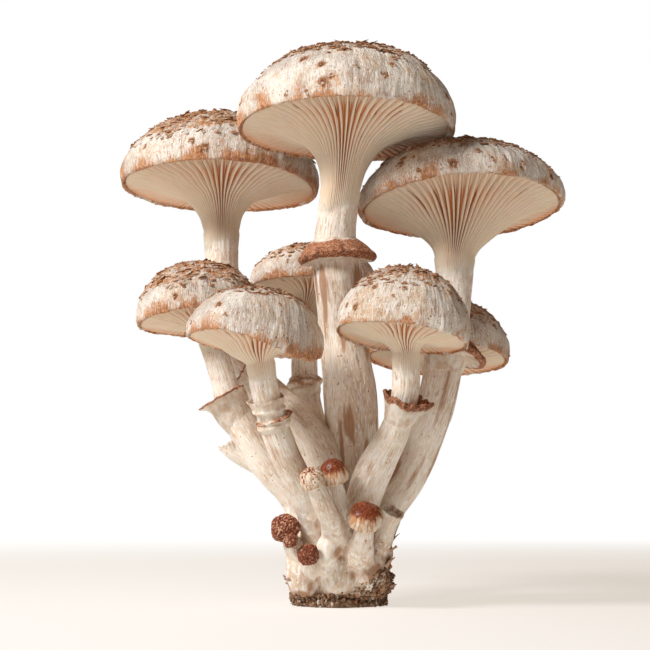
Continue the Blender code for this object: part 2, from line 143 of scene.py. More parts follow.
# Collars: the stem and the height they sit at, the rim's reach from the stem's axis and its thickness, the
# skirt below, the height of the rim and of the inner edge, how ragged the rim is, the side it flares to in
# degrees from +X with how far it flares and droops there, how much both its sides hang, and how brown it is.
Collar = namedtuple("Collar", "stem height reach rim skirt upturn arch torn towards flare droop hang brown")
COLLARS = {
    "center": Collar("center_tall", 119.5, 13.4, 3.4, 9, -1.2, 3.4, 0.30, -15, 0.7, 0.6, 1.3, 1.0),
    "right_tall": Collar("right_tall", 87.5, 9.8, 3.2, 11, -0.6, 2.6, 0.5, -12, 4.0, 4.0, 0.0, 1.1),
    "back_mid": Collar("back_mid", 77.5, 6.6, 3.0, 8, -0.3, 1.8, 0.8, -90, 0.3, 0.5, 0.0, 0.5),
    "left_tall": Collar("left_tall", 77, 7.8, 0.8, 5, 0.6, -1.6, 1.1, -60, 0.9, 0.5, 0.0, 0.9),
    "left_mid": Collar("left_mid", 69.5, 8.6, 0.6, 11, 1.9, -2.0, 0.38, 206, 2.8, 1.7, 0.0, 0.85),
    "left_front_upper": Collar("left_front", 66.5, 6.0, 0.7, 4, 0.8, -1.2, 0.6, 190, 0.5, 0.2, 0.0, 0.35),
    "left_front_lower": Collar("left_front", 60.5, 6.0, 0.9, 4, 0.2, 0.6, 0.4, 0, 0.6, -0.6, 0.0, 0.6),
    "right_front": Collar("right_front", 65.5, 7.6, 1.8, 7, 1.4, -1.4, 1.8, -20, 1.0, 0.8, 0.0, 1.25),
}

# Stems of the buds and of one stump, from the top down to the root.
SHOOTS = {
    "stump": [
        (-37.5, -2, 55, 4.4),
        (-34, -2, 50.5, 3.2),
        (-21.2, -1, 42.5, 3.1),
        (-14.5, -1, 32, 3.1),
        (-9, 0, 22, 3.1),
    ],
    "spotted": [(-8.2, -38.7, 40.2, 3.2), (-4.5, -33, 32.5, 3.5), (-1.5, -22, 24, 3.4), (0, -12, 17, 3.4)],
    "round": [(-1.5, -30.8, 41, 2.8), (-0.2, -27, 34, 2.9), (1.5, -20, 25, 3.0), (3, -10, 18, 3.0)],
    "bell": [(7.8, -30.6, 27.9, 3.4), (7.2, -25, 21.5, 3.8), (6, -14, 14, 4.0)],
    "cup": [(17.5, -20, 31.5, 4.0), (16, -18, 28, 2.9), (13.4, -14, 21, 3.6), (9, -7, 12, 4.3)],
    "rough": [(-16.9, -19.2, 24.2, 2.9), (-14.5, -15, 19, 3.4), (-9, -8, 14, 3.6)],
    "tiny": [(-15.4, -27.4, 21.4, 1.5), (-14.4, -23.5, 18.8, 1.8), (-9, -12, 14, 2.2)],
    "ball": [(-10.2, -25.4, 16.8, 2.2), (-10.2, -20, 13.2, 2.8), (-7, -10, 11, 3.2)],
}
# Shoots whose top is torn open: how deep, and how ragged the rim is.
OPEN_SHOOTS = {"stump": (2.6, 0.7), "cup": (5.5, 0.9)}
# Bud caps: radius, rise, height and width of the grains, how far down the brown reaches, and how many grains
# are pale.
BUDS = {
    "spotted": (4.3, 5.4, 0.15, 0.7, 0.52, 0.0),
    "round": (4.6, 7.6, 0.05, 0.7, 0.50, 0.0),
    "bell": (5.9, 6.6, 0.06, 0.7, 0.46, 0.0),
    "rough": (4.7, 6.4, 0.50, 0.62, 1.3, 0.40),
    "tiny": (2.3, 3.4, 0.30, 0.50, 1.3, 0.38),
    "ball": (3.4, 4.8, 0.35, 0.52, 1.3, 0.20),
}
# A bud cap's outline from its crown to its underside, as shares of its radius and rise.
BUTTON_OUTLINE = [
    (0, 1), (0.42, 0.94), (0.76, 0.74), (0.95, 0.44), (1.0, 0.20), (0.96, 0.06), (0.84, 0.04), (0.74, 0.1),
]

# The base's own body as height and radius from the bottom up, and how much longer it is along Y than along X.
BASE = [(3.4, 14.3), (6.0, 15.0), (10, 15.9), (17, 16.6), (24, 16.4), (30, 14.4), (35, 10.5)]
BASE_LENGTHEN = 1.1
# Lumps of the base that show, and those that fill the room among the roots: x, y, z and radius.
LOBES = [
    (-11.5, -12.5, 11.5, 6.4), (-1, -15.5, 11.5, 6.0), (8, -13, 13.5, 7.2), (-12, 9, 15, 6.5),
    (-4.0, -22.3, 18.6, 4.1), (-4.3, -18.5, 15.0, 4.4),
]
FILLING = [
    (-7, -11, 18, 7.8), (2.5, -12.5, 19, 7.4), (9.5, -9, 18, 8.2), (-11, -4, 19, 7), (13, 3, 17, 5.5),
    (-10.5, -10, 8.5, 6.0), (-1.5, -12.5, 8.5, 5.8), (4, -12.5, 8.5, 6.2), (9.5, -9.5, 8.5, 6.4),
    (-12, -3.5, 8.5, 5.5), (12.5, -2, 8.5, 5.5), (-2, 11, 25, 7.4), (4.5, 9.5, 24, 7.2),
]
LUMP_STRETCH = 1.25  # how much taller than wide the lumps are
# Stains on the base, the first of them a patch of painted shade in the hollow right of the knob: x, y, z,
# radius and strength.
STAINS_AND_SHADE = [
    (-1.2, -23, 18.0, 2.2, 0.8), (-9.5, -17, 6.5, 1.6, 0.5),
    (-6.0, -18, 12, 1.6, 0.6), (4.5, -19, 9, 1.6, 0.6),
]
LONGER = np.array([1, BASE_LENGTHEN, 1])
ROOTS_FROM = 46  # height below which a stem's root is fused into the base
ROOT_SWELL = (-1.0, 1.8)  # added to a root's radius at its top and its end
BASE_BOTTOM = 3.4  # where the base's flesh ends and the soil begins
VOXEL = 0.5
SOIL_RADIUS = 15.6
# The crust's outline from its top to its underside: share of its radius, and height.
CRUST = [(0.6, 3.0), (0.93, 2.9), (1.0, 2.2), (1.02, 1.2), (1.0, 0.3), (0.97, 0.05), (0.6, 0.0)]
CRUMBS = 3200

# Colours as linear red, green and blue.
CREAM = (0.80, 0.705, 0.595)
ASH = (0.50, 0.405, 0.33)
IVORY = (0.85, 0.745, 0.62)
SHADE = (0.60, 0.395, 0.23)
FIBRE = (0.34, 0.165, 0.075)
PALE = (0.95, 0.925, 0.88)
STAIN = (0.38, 0.125, 0.030)
TAN = (0.64, 0.30, 0.115)
BROWN = (0.26, 0.070, 0.020)
DARK = (0.055, 0.018, 0.008)
GILL = (0.80, 0.655, 0.51)
# Painted light in the gills: an orange glow deep in the gaps, and one through the rim, most at the back.
GILL_GAP_GLOW = (0.70, 0.27, 0.085)
GILL_RIM_GLOW = (0.70, 0.28, 0.10)
GILL_PALE = (0.74, 0.60, 0.46)
# Brown of streaks and stains, also used for painted shade on the base.
STREAK_AND_SHADE = (0.40, 0.19, 0.088)
VEIL = (0.82, 0.74, 0.64)
VEIL_SHADE = (0.62, 0.45, 0.32)
VEIL_RIM = (0.21, 0.065, 0.028)
VEIL_TAN = (0.58, 0.28, 0.155)
BUD_FLESH = (0.80, 0.69, 0.56)
BUD_STRIPE = (0.52, 0.31, 0.17)
RUST_DARK = (0.15, 0.026, 0.012)
RUST = (0.44, 0.140, 0.050)
AMBER = (0.58, 0.24, 0.08)
PALE_GRAIN = (0.66, 0.42, 0.26)
SOIL = (0.16, 0.090, 0.050)
CRUMB = (0.40, 0.245, 0.155)
ORANGE_CRUMB = (0.55, 0.23, 0.09)
PALE_CRUMB = (0.66, 0.54, 0.42)
GRIT = (0.03, 0.018, 0.012)


# Numbers that repeat on every run.


def lattice(cells, seed):
    """A repeatable value from -1 to 1 for each whole-number cell."""
    mixed = cells.astype(np.uint32) * np.array([374761393, 668265263, 2246822519], np.uint32)
    value = mixed[..., 0] ^ (mixed[..., 1] >> 3) ^ (mixed[..., 2] >> 7) ^ np.uint32(seed * 40503 + 977)
    value = (value ^ (value >> 15)) * np.uint32(2246822519)
    value = (value ^ (value >> 13)) * np.uint32(3266489917)
    return (value ^ (value >> 16)) / 2**31 - 1


def noise(points, seed, octaves=1):
    """Smooth noise from -1 to 1 at points counted in cells."""
    total = 0
    for octave in range(octaves):
        scaled = points * 2**octave
        cell = np.floor(scaled).astype(np.int64)
        part = scaled - cell
        part = part * part * (3 - 2 * part)
        value = 0
        for corner in itertools.product((0, 1), repeat=3):
            weight = np.prod(np.where(corner, part, 1 - part), axis=-1)
            value = value + weight * lattice(cell + np.array(corner), seed * 7 + octave)
        total = total + value / 2**octave
    return total / (2 - 2 ** (1 - octaves))


def grains(points, seed):
    """Height from 0 to 1 of round grains, one to a cell, at points counted in cells, and a tint for each."""
    cell = np.floor(points).astype(np.int64)
    nearest = np.full(points.shape[:-1], 9.0)
    tint = np.zeros(points.shape[:-1])
    for shift in itertools.product((-1, 0, 1), repeat=3):
        near = cell + np.array(shift)
        centre = near + 0.5 + 0.4 * np.stack([lattice(near, seed + axis) for axis in range(3)], axis=-1)
        apart = ((points - centre) ** 2).sum(axis=-1)
        tint = np.where(apart < nearest, 0.5 + 0.5 * lattice(near, seed + 5), tint)
        nearest = np.minimum(nearest, apart)
    return np.sqrt(np.clip(1 - nearest / 0.45, 0, 1)), tint


def step(value, low, high):
    """0 below low, 1 above high, smooth between."""
    share = np.clip((value - low) / (high - low), 0, 1)
    return share * share * (3 - 2 * share)


def seed_of(name):
    return random.Random(name).randrange(1000)


# Curves and shells.


def all_round(columns):
    """Angles evenly spaced round a full turn."""
    return np.arange(columns) * TAU / columns


def together(*parts):
    """Grids of single values as one grid of points."""
    return np.stack(np.broadcast_arrays(*parts), axis=-1)


def ring(angle, reach, height=0.0):
    """Points at angles round the Z axis, with their distances from it and their heights."""
    return together(reach * np.cos(angle), reach * np.sin(angle), height)


def run_along(path, dims):
    """How far along a path each of its points lies, from the first dims values of each."""
    return np.concatenate([[0], np.cumsum(np.linalg.norm(np.diff(path[:, :dims], axis=0), axis=1))])


def curve(knots, count, dims):
    """Points evenly spaced along a smooth curve through knots, whose first dims values are its place."""
    knots = np.array(knots, float)
    padded = np.vstack([2 * knots[0] - knots[1], knots, 2 * knots[-1] - knots[-2]])
    a, b, c, d = (padded[start : len(padded) - 3 + start, None, :] for start in range(4))
    t = np.linspace(0, 1, 40, endpoint=False)[None, :, None]
    dense = (2 * b + (c - a) * t + (2 * a - 5 * b + 4 * c - d) * t**2 + (3 * b - a - 3 * c + d) * t**3) / 2
    dense = np.vstack([dense.reshape(-1, knots.shape[1]), knots[-1:]])
    run = run_along(dense, dims)
    places = np.linspace(0, run[-1], count)
    return np.stack([np.interp(places, run, column) for column in dense.T], axis=1)


def turns_along(path, start=None):
    """A turn at each place of a path that runs down a stem, with +Z up against the path and no twist."""
    ups = -np.gradient(path[:, :3], axis=0)
    turn = start.copy() if start else Vector(ups[0]).to_track_quat("Z", "Y")
    turns = []
    for up in ups:
        turn = (turn @ Vector((0, 0, 1))).rotation_difference(Vector(up)) @ turn
        turns.append(np.array(turn.to_matrix()))
    return np.array(turns)


def unit(vectors):
    return vectors / np.maximum(np.linalg.norm(vectors, axis=-1, keepdims=True), 1e-9)


def normals_of(grid):
    """Outward directions on a grid of rows down a surface and columns round it."""
    down = np.gradient(grid, axis=0)
    across = np.roll(grid, -1, axis=1) - np.roll(grid, 1, axis=1)
    return unit(np.cross(down, across))


def shell_faces(rows, columns, offset=0):
    """Faces of a grid whose rows close round, with a tip before the first row and one after the last."""
    index = offset + np.arange(rows * columns).reshape(rows, columns)
    after = np.roll(index, -1, axis=1)
    quads = np.stack([index[:-1], index[1:], after[1:], after[:-1]], axis=-1).reshape(-1, 4)
    first = offset + rows * columns
    top = np.stack([np.full(columns, first), index[0], after[0]], axis=-1)
    bottom = np.stack([np.full(columns, first + 1), after[-1], index[-1]], axis=-1)
    return quads.tolist() + top.tolist() + bottom.tolist()


def close_grid(grid, values, top=None, bottom=None):
    """The points and values of a grid with a tip at each end, by default in the middle of the end row."""
    tips = [grid[0].mean(axis=0) if top is None else top, grid[-1].mean(axis=0) if bottom is None else bottom]
    points = np.vstack([grid.reshape(-1, 3), tips])
    spread = {}
    for name, value in values.items():
        rows = value.reshape(*grid.shape[:2], -1)
        spread[name] = np.vstack([rows.reshape(-1, rows.shape[-1]), rows[[0, -1]].mean(axis=1)])
    return points, spread


def add_object(name, data):
    made = bpy.data.objects.new(name, data)
    bpy.context.scene.collection.objects.link(made)
    return made


def add_piece(name, points, faces, values, material, nodes):
    """A piece from points in millimetres, with its values kept as attributes for its material."""
    mesh = bpy.data.meshes.new(name)
    mesh.from_pydata((points * MM).tolist(), [], faces)
    for key, value in values.items():
        wide = value.shape[-1] == 3
        kept = mesh.attributes.new(key, "FLOAT_VECTOR" if wide else "FLOAT", "POINT")
        kept.data.foreach_set("vector" if wide else "value", value.astype(np.float32).ravel())
    mesh.shade_smooth()
    mesh.materials.append(material)
    piece = add_object(name, mesh)
    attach(piece, "root")
    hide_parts(*nodes)


# Materials.


def node(tree, kind, inputs=(), **settings):
    """A new node with its settings and inputs, each input a socket or a plain value."""
    made = tree.nodes.new(kind)
    for key, value in settings.items():
        setattr(made, key, value)
    for key, value in dict(inputs).items():
        if isinstance(value, bpy.types.NodeSocket):
            tree.links.new(value, made.inputs[key])
        else:
            made.inputs[key].default_value = value
    return made


def value_of(tree, name):
    return node(tree, "ShaderNodeAttribute", attribute_name=name).outputs["Fac"]


def vector_of(tree, name):
    return node(tree, "ShaderNodeAttribute", attribute_name=name).outputs["Vector"]


def place(tree):
    """Where a point is on its object, in metres."""
    return node(tree, "ShaderNodeTexCoord").outputs["Object"]


def fog(tree, vector, scale, detail=3.0, roughness=0.6):
    """Cloudy noise from 0 to 1, mostly near 0.5."""
    inputs = {"Vector": vector, "Scale": scale, "Detail": detail, "Roughness": roughness}
    return node(tree, "ShaderNodeTexNoise", inputs).outputs["Fac"]


def between(tree, value, low, high, smallest=0.0, largest=1.0):
    """A value carried over smoothly from one range to another, and held at its ends."""
    inputs = {"Value": value, "From Min": low, "From Max": high, "To Min": smallest, "To Max": largest}
    return node(tree, "ShaderNodeMapRange", inputs, interpolation_type="SMOOTHSTEP").outputs["Result"]


def added(tree, first, second):
    return node(tree, "ShaderNodeMath", {0: first, 1: second}, operation="ADD").outputs["Value"]


def times(tree, first, second):
    return node(tree, "ShaderNodeMath", {0: first, 1: second}, operation="MULTIPLY").outputs["Value"]


def swing(tree, cloudy, amount):
    """Fog as a push either way from 0."""
    return times(tree, added(tree, cloudy, -0.5), amount)


def mixed(tree, share, first, second):
    """The second colour laid over the first. Each is a socket, or red, green and blue."""
    first, second = ((*colour, 1) if isinstance(colour, tuple) else colour for colour in (first, second))
    return node(tree, "ShaderNodeMix", {0: share, 6: first, 7: second}, data_type="RGBA").outputs[2]


def bump(tree, height, strength, distance, under=None):
    inputs = {"Height": height, "Strength": strength, "Distance": distance * MM}
    if under:
        inputs["Normal"] = under
    return node(tree, "ShaderNodeBump", inputs).outputs["Normal"]


def new_material(name, roughness=0.8, soft=0.12, depth=1.0):
    """A matt material. soft is the share of light that spreads inside it, depth how many millimetres far."""
    made = bpy.data.materials.new(name)
    made.use_nodes = True
    shader = made.node_tree.nodes["Principled BSDF"]
    shader.inputs["Roughness"].default_value = roughness
    shader.inputs["Specular IOR Level"].default_value = 0.3
    shader.inputs["Subsurface Weight"].default_value = soft
    shader.inputs["Subsurface Radius"].default_value = (1.0, 0.45, 0.2)
    shader.inputs["Subsurface Scale"].default_value = depth * MM
    return made, made.node_tree, shader


def join(tree, shader, colour, normal):
    tree.links.new(colour, shader.inputs["Base Color"])
    tree.links.new(normal, shader.inputs["Normal"])


def cap_material():
    """Woolly cream skin with fine fibres, stained near the margin and brown where its scales are."""
    made, tree, shader = new_material("cap_skin", 0.85, 0.12, 1.0)
    grain = vector_of(tree, "grain")
    spot = place(tree)
    fibres = fog(tree, grain, 1.0, 4.0, 0.65)
    fine = fog(tree, grain, 2.3, 3.0, 0.7)
    cloud = fog(tree, spot, 95.0, 4.0)
    colour = mixed(tree, between(tree, cloud, 0.44, 0.64, 0.0, 0.85), CREAM, SHADE)
    colour = mixed(tree, between(tree, fog(tree, spot, 60.0, 3.0), 0.44, 0.66, 0.0, 0.75), colour, ASH)
    worn = between(tree, fog(tree, spot, 210.0, 3.0), 0.44, 0.64, 0.06, 1.0)
    streaks = times(tree, between(tree, fibres, 0.55, 0.36, 0.0, 0.85), worn)
    colour = mixed(tree, streaks, colour, FIBRE)
    colour = mixed(tree, between(tree, fine, 0.48, 0.62, 0.0, 0.6), colour, PALE)
    small = fog(tree, spot, 900.0, 3.0)
    ragged = added(tree, swing(tree, fibres, 1.4), swing(tree, small, 1.8))
    stain = added(tree, value_of(tree, "stain"), ragged)
    rust = mixed(tree, between(tree, small, 0.42, 0.66), STAIN, TAN)
    colour = mixed(tree, between(tree, stain, 0.28, 1.0, 0.0, 0.92), colour, rust)
    colour = mixed(tree, between(tree, fine, 0.52, 0.66, 0.0, 0.45), colour, PALE)
    brown = added(tree, value_of(tree, "brown"), swing(tree, small, 1.8))
    bark = mixed(tree, between(tree, fog(tree, spot, 1700.0, 3.0), 0.36, 0.58), BROWN, TAN)
    colour = mixed(tree, between(tree, brown, 0.30, 0.85, 0.0, 0.9), colour, bark)
    colour = mixed(tree, value_of(tree, "dark"), colour, DARK)
    specks = between(tree, fog(tree, spot, 1300.0, 1.0), 0.66, 0.71, 0.0, 0.8)
    colour = mixed(tree, specks, colour, BROWN)
    normal = bump(tree, fibres, 0.9, 0.5)
    normal = bump(tree, fine, 0.7, 0.25, normal)
    join(tree, shader, colour, normal)
    return made


def flesh_colour(tree):
    """The colour of pale flesh with brown streaks, fewer low down, with its fibres and its place."""
    grain = vector_of(tree, "grain")
    spot = place(tree)
    fibres = fog(tree, grain, 1.0, 4.0, 0.6)
    fine = fog(tree, grain, 2.3, 3.0)
    cloud = fog(tree, spot, 110.0, 3.0)
    colour = mixed(tree, between(tree, cloud, 0.42, 0.66, 0.0, 0.6), IVORY, SHADE)
    worn = between(tree, fog(tree, spot, 120.0, 3.0), 0.42, 0.64, 0.12, 1.0)
    height = node(tree, "ShaderNodeSeparateXYZ", {0: spot}).outputs["Z"]
    worn = times(tree, worn, between(tree, height, 0.020, 0.075, 0.25, 1.0))
    streaks = times(tree, between(tree, fibres, 0.52, 0.36, 0.0, 0.72), worn)
    colour = mixed(tree, streaks, colour, FIBRE)
    colour = mixed(tree, between(tree, fine, 0.48, 0.62, 0.0, 0.8), colour, PALE)
    return colour, fibres, fine, spot


def gill_material():
    """Thin cream blades, with a painted orange glow where light has gone far into the gaps and through the
    rim.
    """
    made, tree, shader = new_material("gills", 0.65, 0.3, 1.6)
    flesh, fibres, _, _ = flesh_colour(tree)
    colour = mixed(tree, between(tree, fibres, 0.35, 0.75), GILL, GILL_PALE)
    colour = mixed(tree, value_of(tree, "neck"), colour, flesh)
    # Painted light: an orange glow at the rim and deep in the gaps.
    colour = mixed(tree, between(tree, value_of(tree, "rim"), 0.0, 1.0, 0.0, 0.8), colour, GILL_RIM_GLOW)
    colour = mixed(tree, between(tree, value_of(tree, "deep"), 0.25, 1.0, 0.0, 0.92), colour, GILL_GAP_GLOW)
    join(tree, shader, colour, bump(tree, fibres, 0.35, 0.15))
    return made


def flesh_material():
    """Stems and base: fibrous flesh, brown in streaks, stains and dirt, brown as painted shade in the base's
    creases and hollows and on its right side, and with a few dark specks.
    """
    made, tree, shader = new_material("stem_flesh", 0.72, 0.18, 1.2)
    colour, fibres, fine, spot = flesh_colour(tree)
    brown = added(tree, value_of(tree, "brown"), swing(tree, fibres, 1.6))
    # Brown streaks, stains and dirt, and on the base painted shade in its creases and hollows and on its
    # right side.
    colour = mixed(tree, between(tree, brown, 0.25, 1.0, 0.0, 0.85), colour, STREAK_AND_SHADE)
    colour = mixed(tree, value_of(tree, "dark"), colour, DARK)
    specks = between(tree, fog(tree, spot, 900.0, 1.0), 0.71, 0.76, 0.0, 0.75)
    colour = mixed(tree, specks, colour, BROWN)
    normal = bump(tree, fibres, 0.7, 0.35)
    normal = bump(tree, fine, 0.6, 0.16, normal)
    join(tree, shader, colour, normal)
    return made


def veil_material():
    """Torn veil: pale below, brown and felted towards its rim."""
    made, tree, shader = new_material("veil", 0.9, 0.12, 0.8)
    spot = place(tree)
    felt = fog(tree, spot, 1600.0, 3.0, 0.7)
    cloud = fog(tree, spot, 300.0, 3.0)
    colour = mixed(tree, between(tree, cloud, 0.35, 0.7), VEIL, VEIL_SHADE)
    brown = added(tree, value_of(tree, "brown"), swing(tree, cloud, 1.2))
    skin = mixed(tree, between(tree, felt, 0.38, 0.62), VEIL_RIM, VEIL_TAN)
    colour = mixed(tree, between(tree, brown, 0.35, 0.8), colour, skin)
    colour = mixed(tree, value_of(tree, "dark"), colour, DARK)
    join(tree, shader, colour, bump(tree, felt, 0.8, 0.3))
    return made


def bud_material():
    """Red-brown skin, some of its grains pale, over pale streaked flesh."""
    made, tree, shader = new_material("bud_skin", 0.38, 0.18, 1.0)
    spot = place(tree)
    mottle = fog(tree, spot, 1500.0, 3.0, 0.6)
    stripes = fog(tree, vector_of(tree, "grain"), 1.0, 2.0)
    colour = mixed(tree, between(tree, stripes, 0.38, 0.62), BUD_FLESH, BUD_STRIPE)
    rust = mixed(tree, between(tree, mottle, 0.40, 0.75), RUST_DARK, RUST)
    brown = added(tree, value_of(tree, "brown"), swing(tree, stripes, 1.0))
    amber = mixed(tree, between(tree, brown, 0.40, 0.85), AMBER, rust)
    colour = mixed(tree, between(tree, brown, 0.15, 0.75), colour, amber)
    colour = mixed(tree, value_of(tree, "pale"), colour, PALE_GRAIN)
    join(tree, shader, colour, bump(tree, mottle, 0.5, 0.15))
    return made


def soil_material():
    """Dark crumbs, some of them orange or pale by their tint."""
    made, tree, shader = new_material("soil", 0.95, 0.0, 1.0)
    spot = place(tree)
    tint = value_of(tree, "tint")
    colour = mixed(tree, between(tree, tint, 0.0, 0.8), SOIL, CRUMB)
    colour = mixed(tree, between(tree, tint, 0.84, 0.88), colour, ORANGE_CRUMB)
    colour = mixed(tree, between(tree, tint, 0.92, 0.95), colour, PALE_CRUMB)
    grit = fog(tree, spot, 2500.0, 3.0)
    colour = mixed(tree, between(tree, grit, 0.4, 0.7, 0.0, 0.5), colour, GRIT)
    join(tree, shader, colour, bump(tree, grit, 0.8, 0.3))
    return made


def stage_material():
    """A pale floor that glows: less at the right, and white far off, where it meets the white background."""
    made, tree, shader = new_material("floor", 0.9, 0.0)
    spot = place(tree)
    tone = fog(tree, spot, 3.0)
    join(tree, shader, mixed(tree, tone, FLOOR_DARK, FLOOR_PALE), bump(tree, tone, 0.01, 0.1))
    distance = node(tree, "ShaderNodeVectorMath", {0: spot}, operation="LENGTH").outputs["Value"]
    far = between(tree, distance, 0.25, 1.1)
    right = between(tree, node(tree, "ShaderNodeSeparateXYZ", {0: spot}).outputs["X"], -0.12, 0.30)
    near = mixed(tree, right, GLOW_LEFT, GLOW_RIGHT)
    tree.links.new(mixed(tree, far, near, WHITE), shader.inputs["Emission Color"])
    shader.inputs["Emission Strength"].default_value = 1.0
    return made


# Caps.


def waves(name):
    """How far a cap's outline swells and its margin lifts, as the model has them."""
    draw = random.Random(name)
    phases = [draw.uniform(0, TAU) for _ in range(4)]

    def swell(angle):
        return 1 + SWELL * (np.sin(2 * angle + phases[0]) + 0.6 * np.sin(3 * angle + phases[1])) / 1.6

    def lift(angle):
        return LIFT * (np.sin(2 * angle + phases[2]) + np.sin(3 * angle + phases[3])) / 2

    return swell, lift


def lean(shape):
    back = Matrix.Rotation(math.radians(-shape.lean_back), 3, "X")
    return back @ Matrix.Rotation(math.radians(shape.lean_right), 3, "Y")


# A flake's rings from its root to its tip: share of its length, share of its width, thickness in millimetres.
FLAKE_ALONG, FLAKE_WIDTH, FLAKE_THICKNESS = np.array([
    (0.0, 0.6, 0.24), (0.3, 0.95, 0.24), (0.6, 1.0, 0.20), (0.85, 0.8, 0.15), (1.0, 0.4, 0.08),
]).T
FLAKE_SIDES = 8
FLAKE_POINTS = FLAKE_SIDES * len(FLAKE_ALONG) + 2
FLAKE_ROOT = 0.25  # how deep a flake's root is sunk


def flakes(places, normals, downs, widths, lengths, lifts, draw, offset):
    """Closed curled flakes whose roots are sunk in the surface and whose tips lean downhill."""
    count = len(places)
    each_ring = (count, len(FLAKE_ALONG))
    angle = all_round(FLAKE_SIDES)
    ragged = 1 + 0.25 * draw.uniform(-1, 1, each_ring)
    side = 0.18 * draw.uniform(-1, 1, each_ring)
    spin = draw.uniform(-0.45, 0.45, (count, 1))
    across = np.cross(normals, downs)
    downs, across = downs * np.cos(spin) + across * np.sin(spin), across * np.cos(spin) - downs * np.sin(spin)
    up = (lifts[:, None] + FLAKE_ROOT) * FLAKE_ALONG**1.6 - FLAKE_ROOT
    wide = (np.cos(angle) * (FLAKE_WIDTH * ragged)[..., None] / 2 + side[..., None]) * widths[:, None, None]
    high = np.sin(angle) * FLAKE_THICKNESS[:, None] + up[..., None]
    high = high + 0.15 * np.cos(angle) ** 2 * draw.uniform(-1, 1, each_ring)[..., None]
    ahead = (FLAKE_ALONG * lengths[:, None])[..., None] * np.ones(FLAKE_SIDES)
    grid = places[:, None, None] + (
        across[:, None, None] * wide[..., None]
        + normals[:, None, None] * high[..., None]
        + downs[:, None, None] * ahead[..., None]
    )
    ends = np.stack([grid[:, 0].mean(axis=1) - downs * 0.2, grid[:, -1].mean(axis=1) + downs * 0.25], axis=1)
    points = np.concatenate([grid.reshape(count, -1, 3), ends], axis=1)
    faces = []
    for number in range(count):
        faces += shell_faces(len(FLAKE_ALONG), FLAKE_SIDES, offset + number * FLAKE_POINTS)
    share = np.concatenate([np.repeat(FLAKE_ALONG, FLAKE_SIDES), [0, 1]])
    return points.reshape(-1, 3), faces, np.tile(share, count)[:, None]


def dome(name, columns, rows):
    """A smooth cap as a grid, with its angles, how far along each row lies, and which rows are outside."""
    shape = MUSHROOMS[name]
    size = shape.radius
    outline = curve([(out * size, up * shape.rise) for out, up in CAP_OUTLINE], rows, 2)
    inside = [(LIP * size * share, HOLLOW * size * (1 - share)) for share in CAP_INSIDE]
    outline = np.vstack([outline[1:], inside])
    angle = all_round(columns)
    swell, lift = waves(name)
    height = outline[:, 1:] + lift(angle) * size * (outline[:, :1] / size) ** 3
    flat = ring(angle, outline[:, :1] * swell(angle), height)
    return flat, angle, run_along(outline, 2), (np.arange(len(outline)) < rows - 1)[:, None]


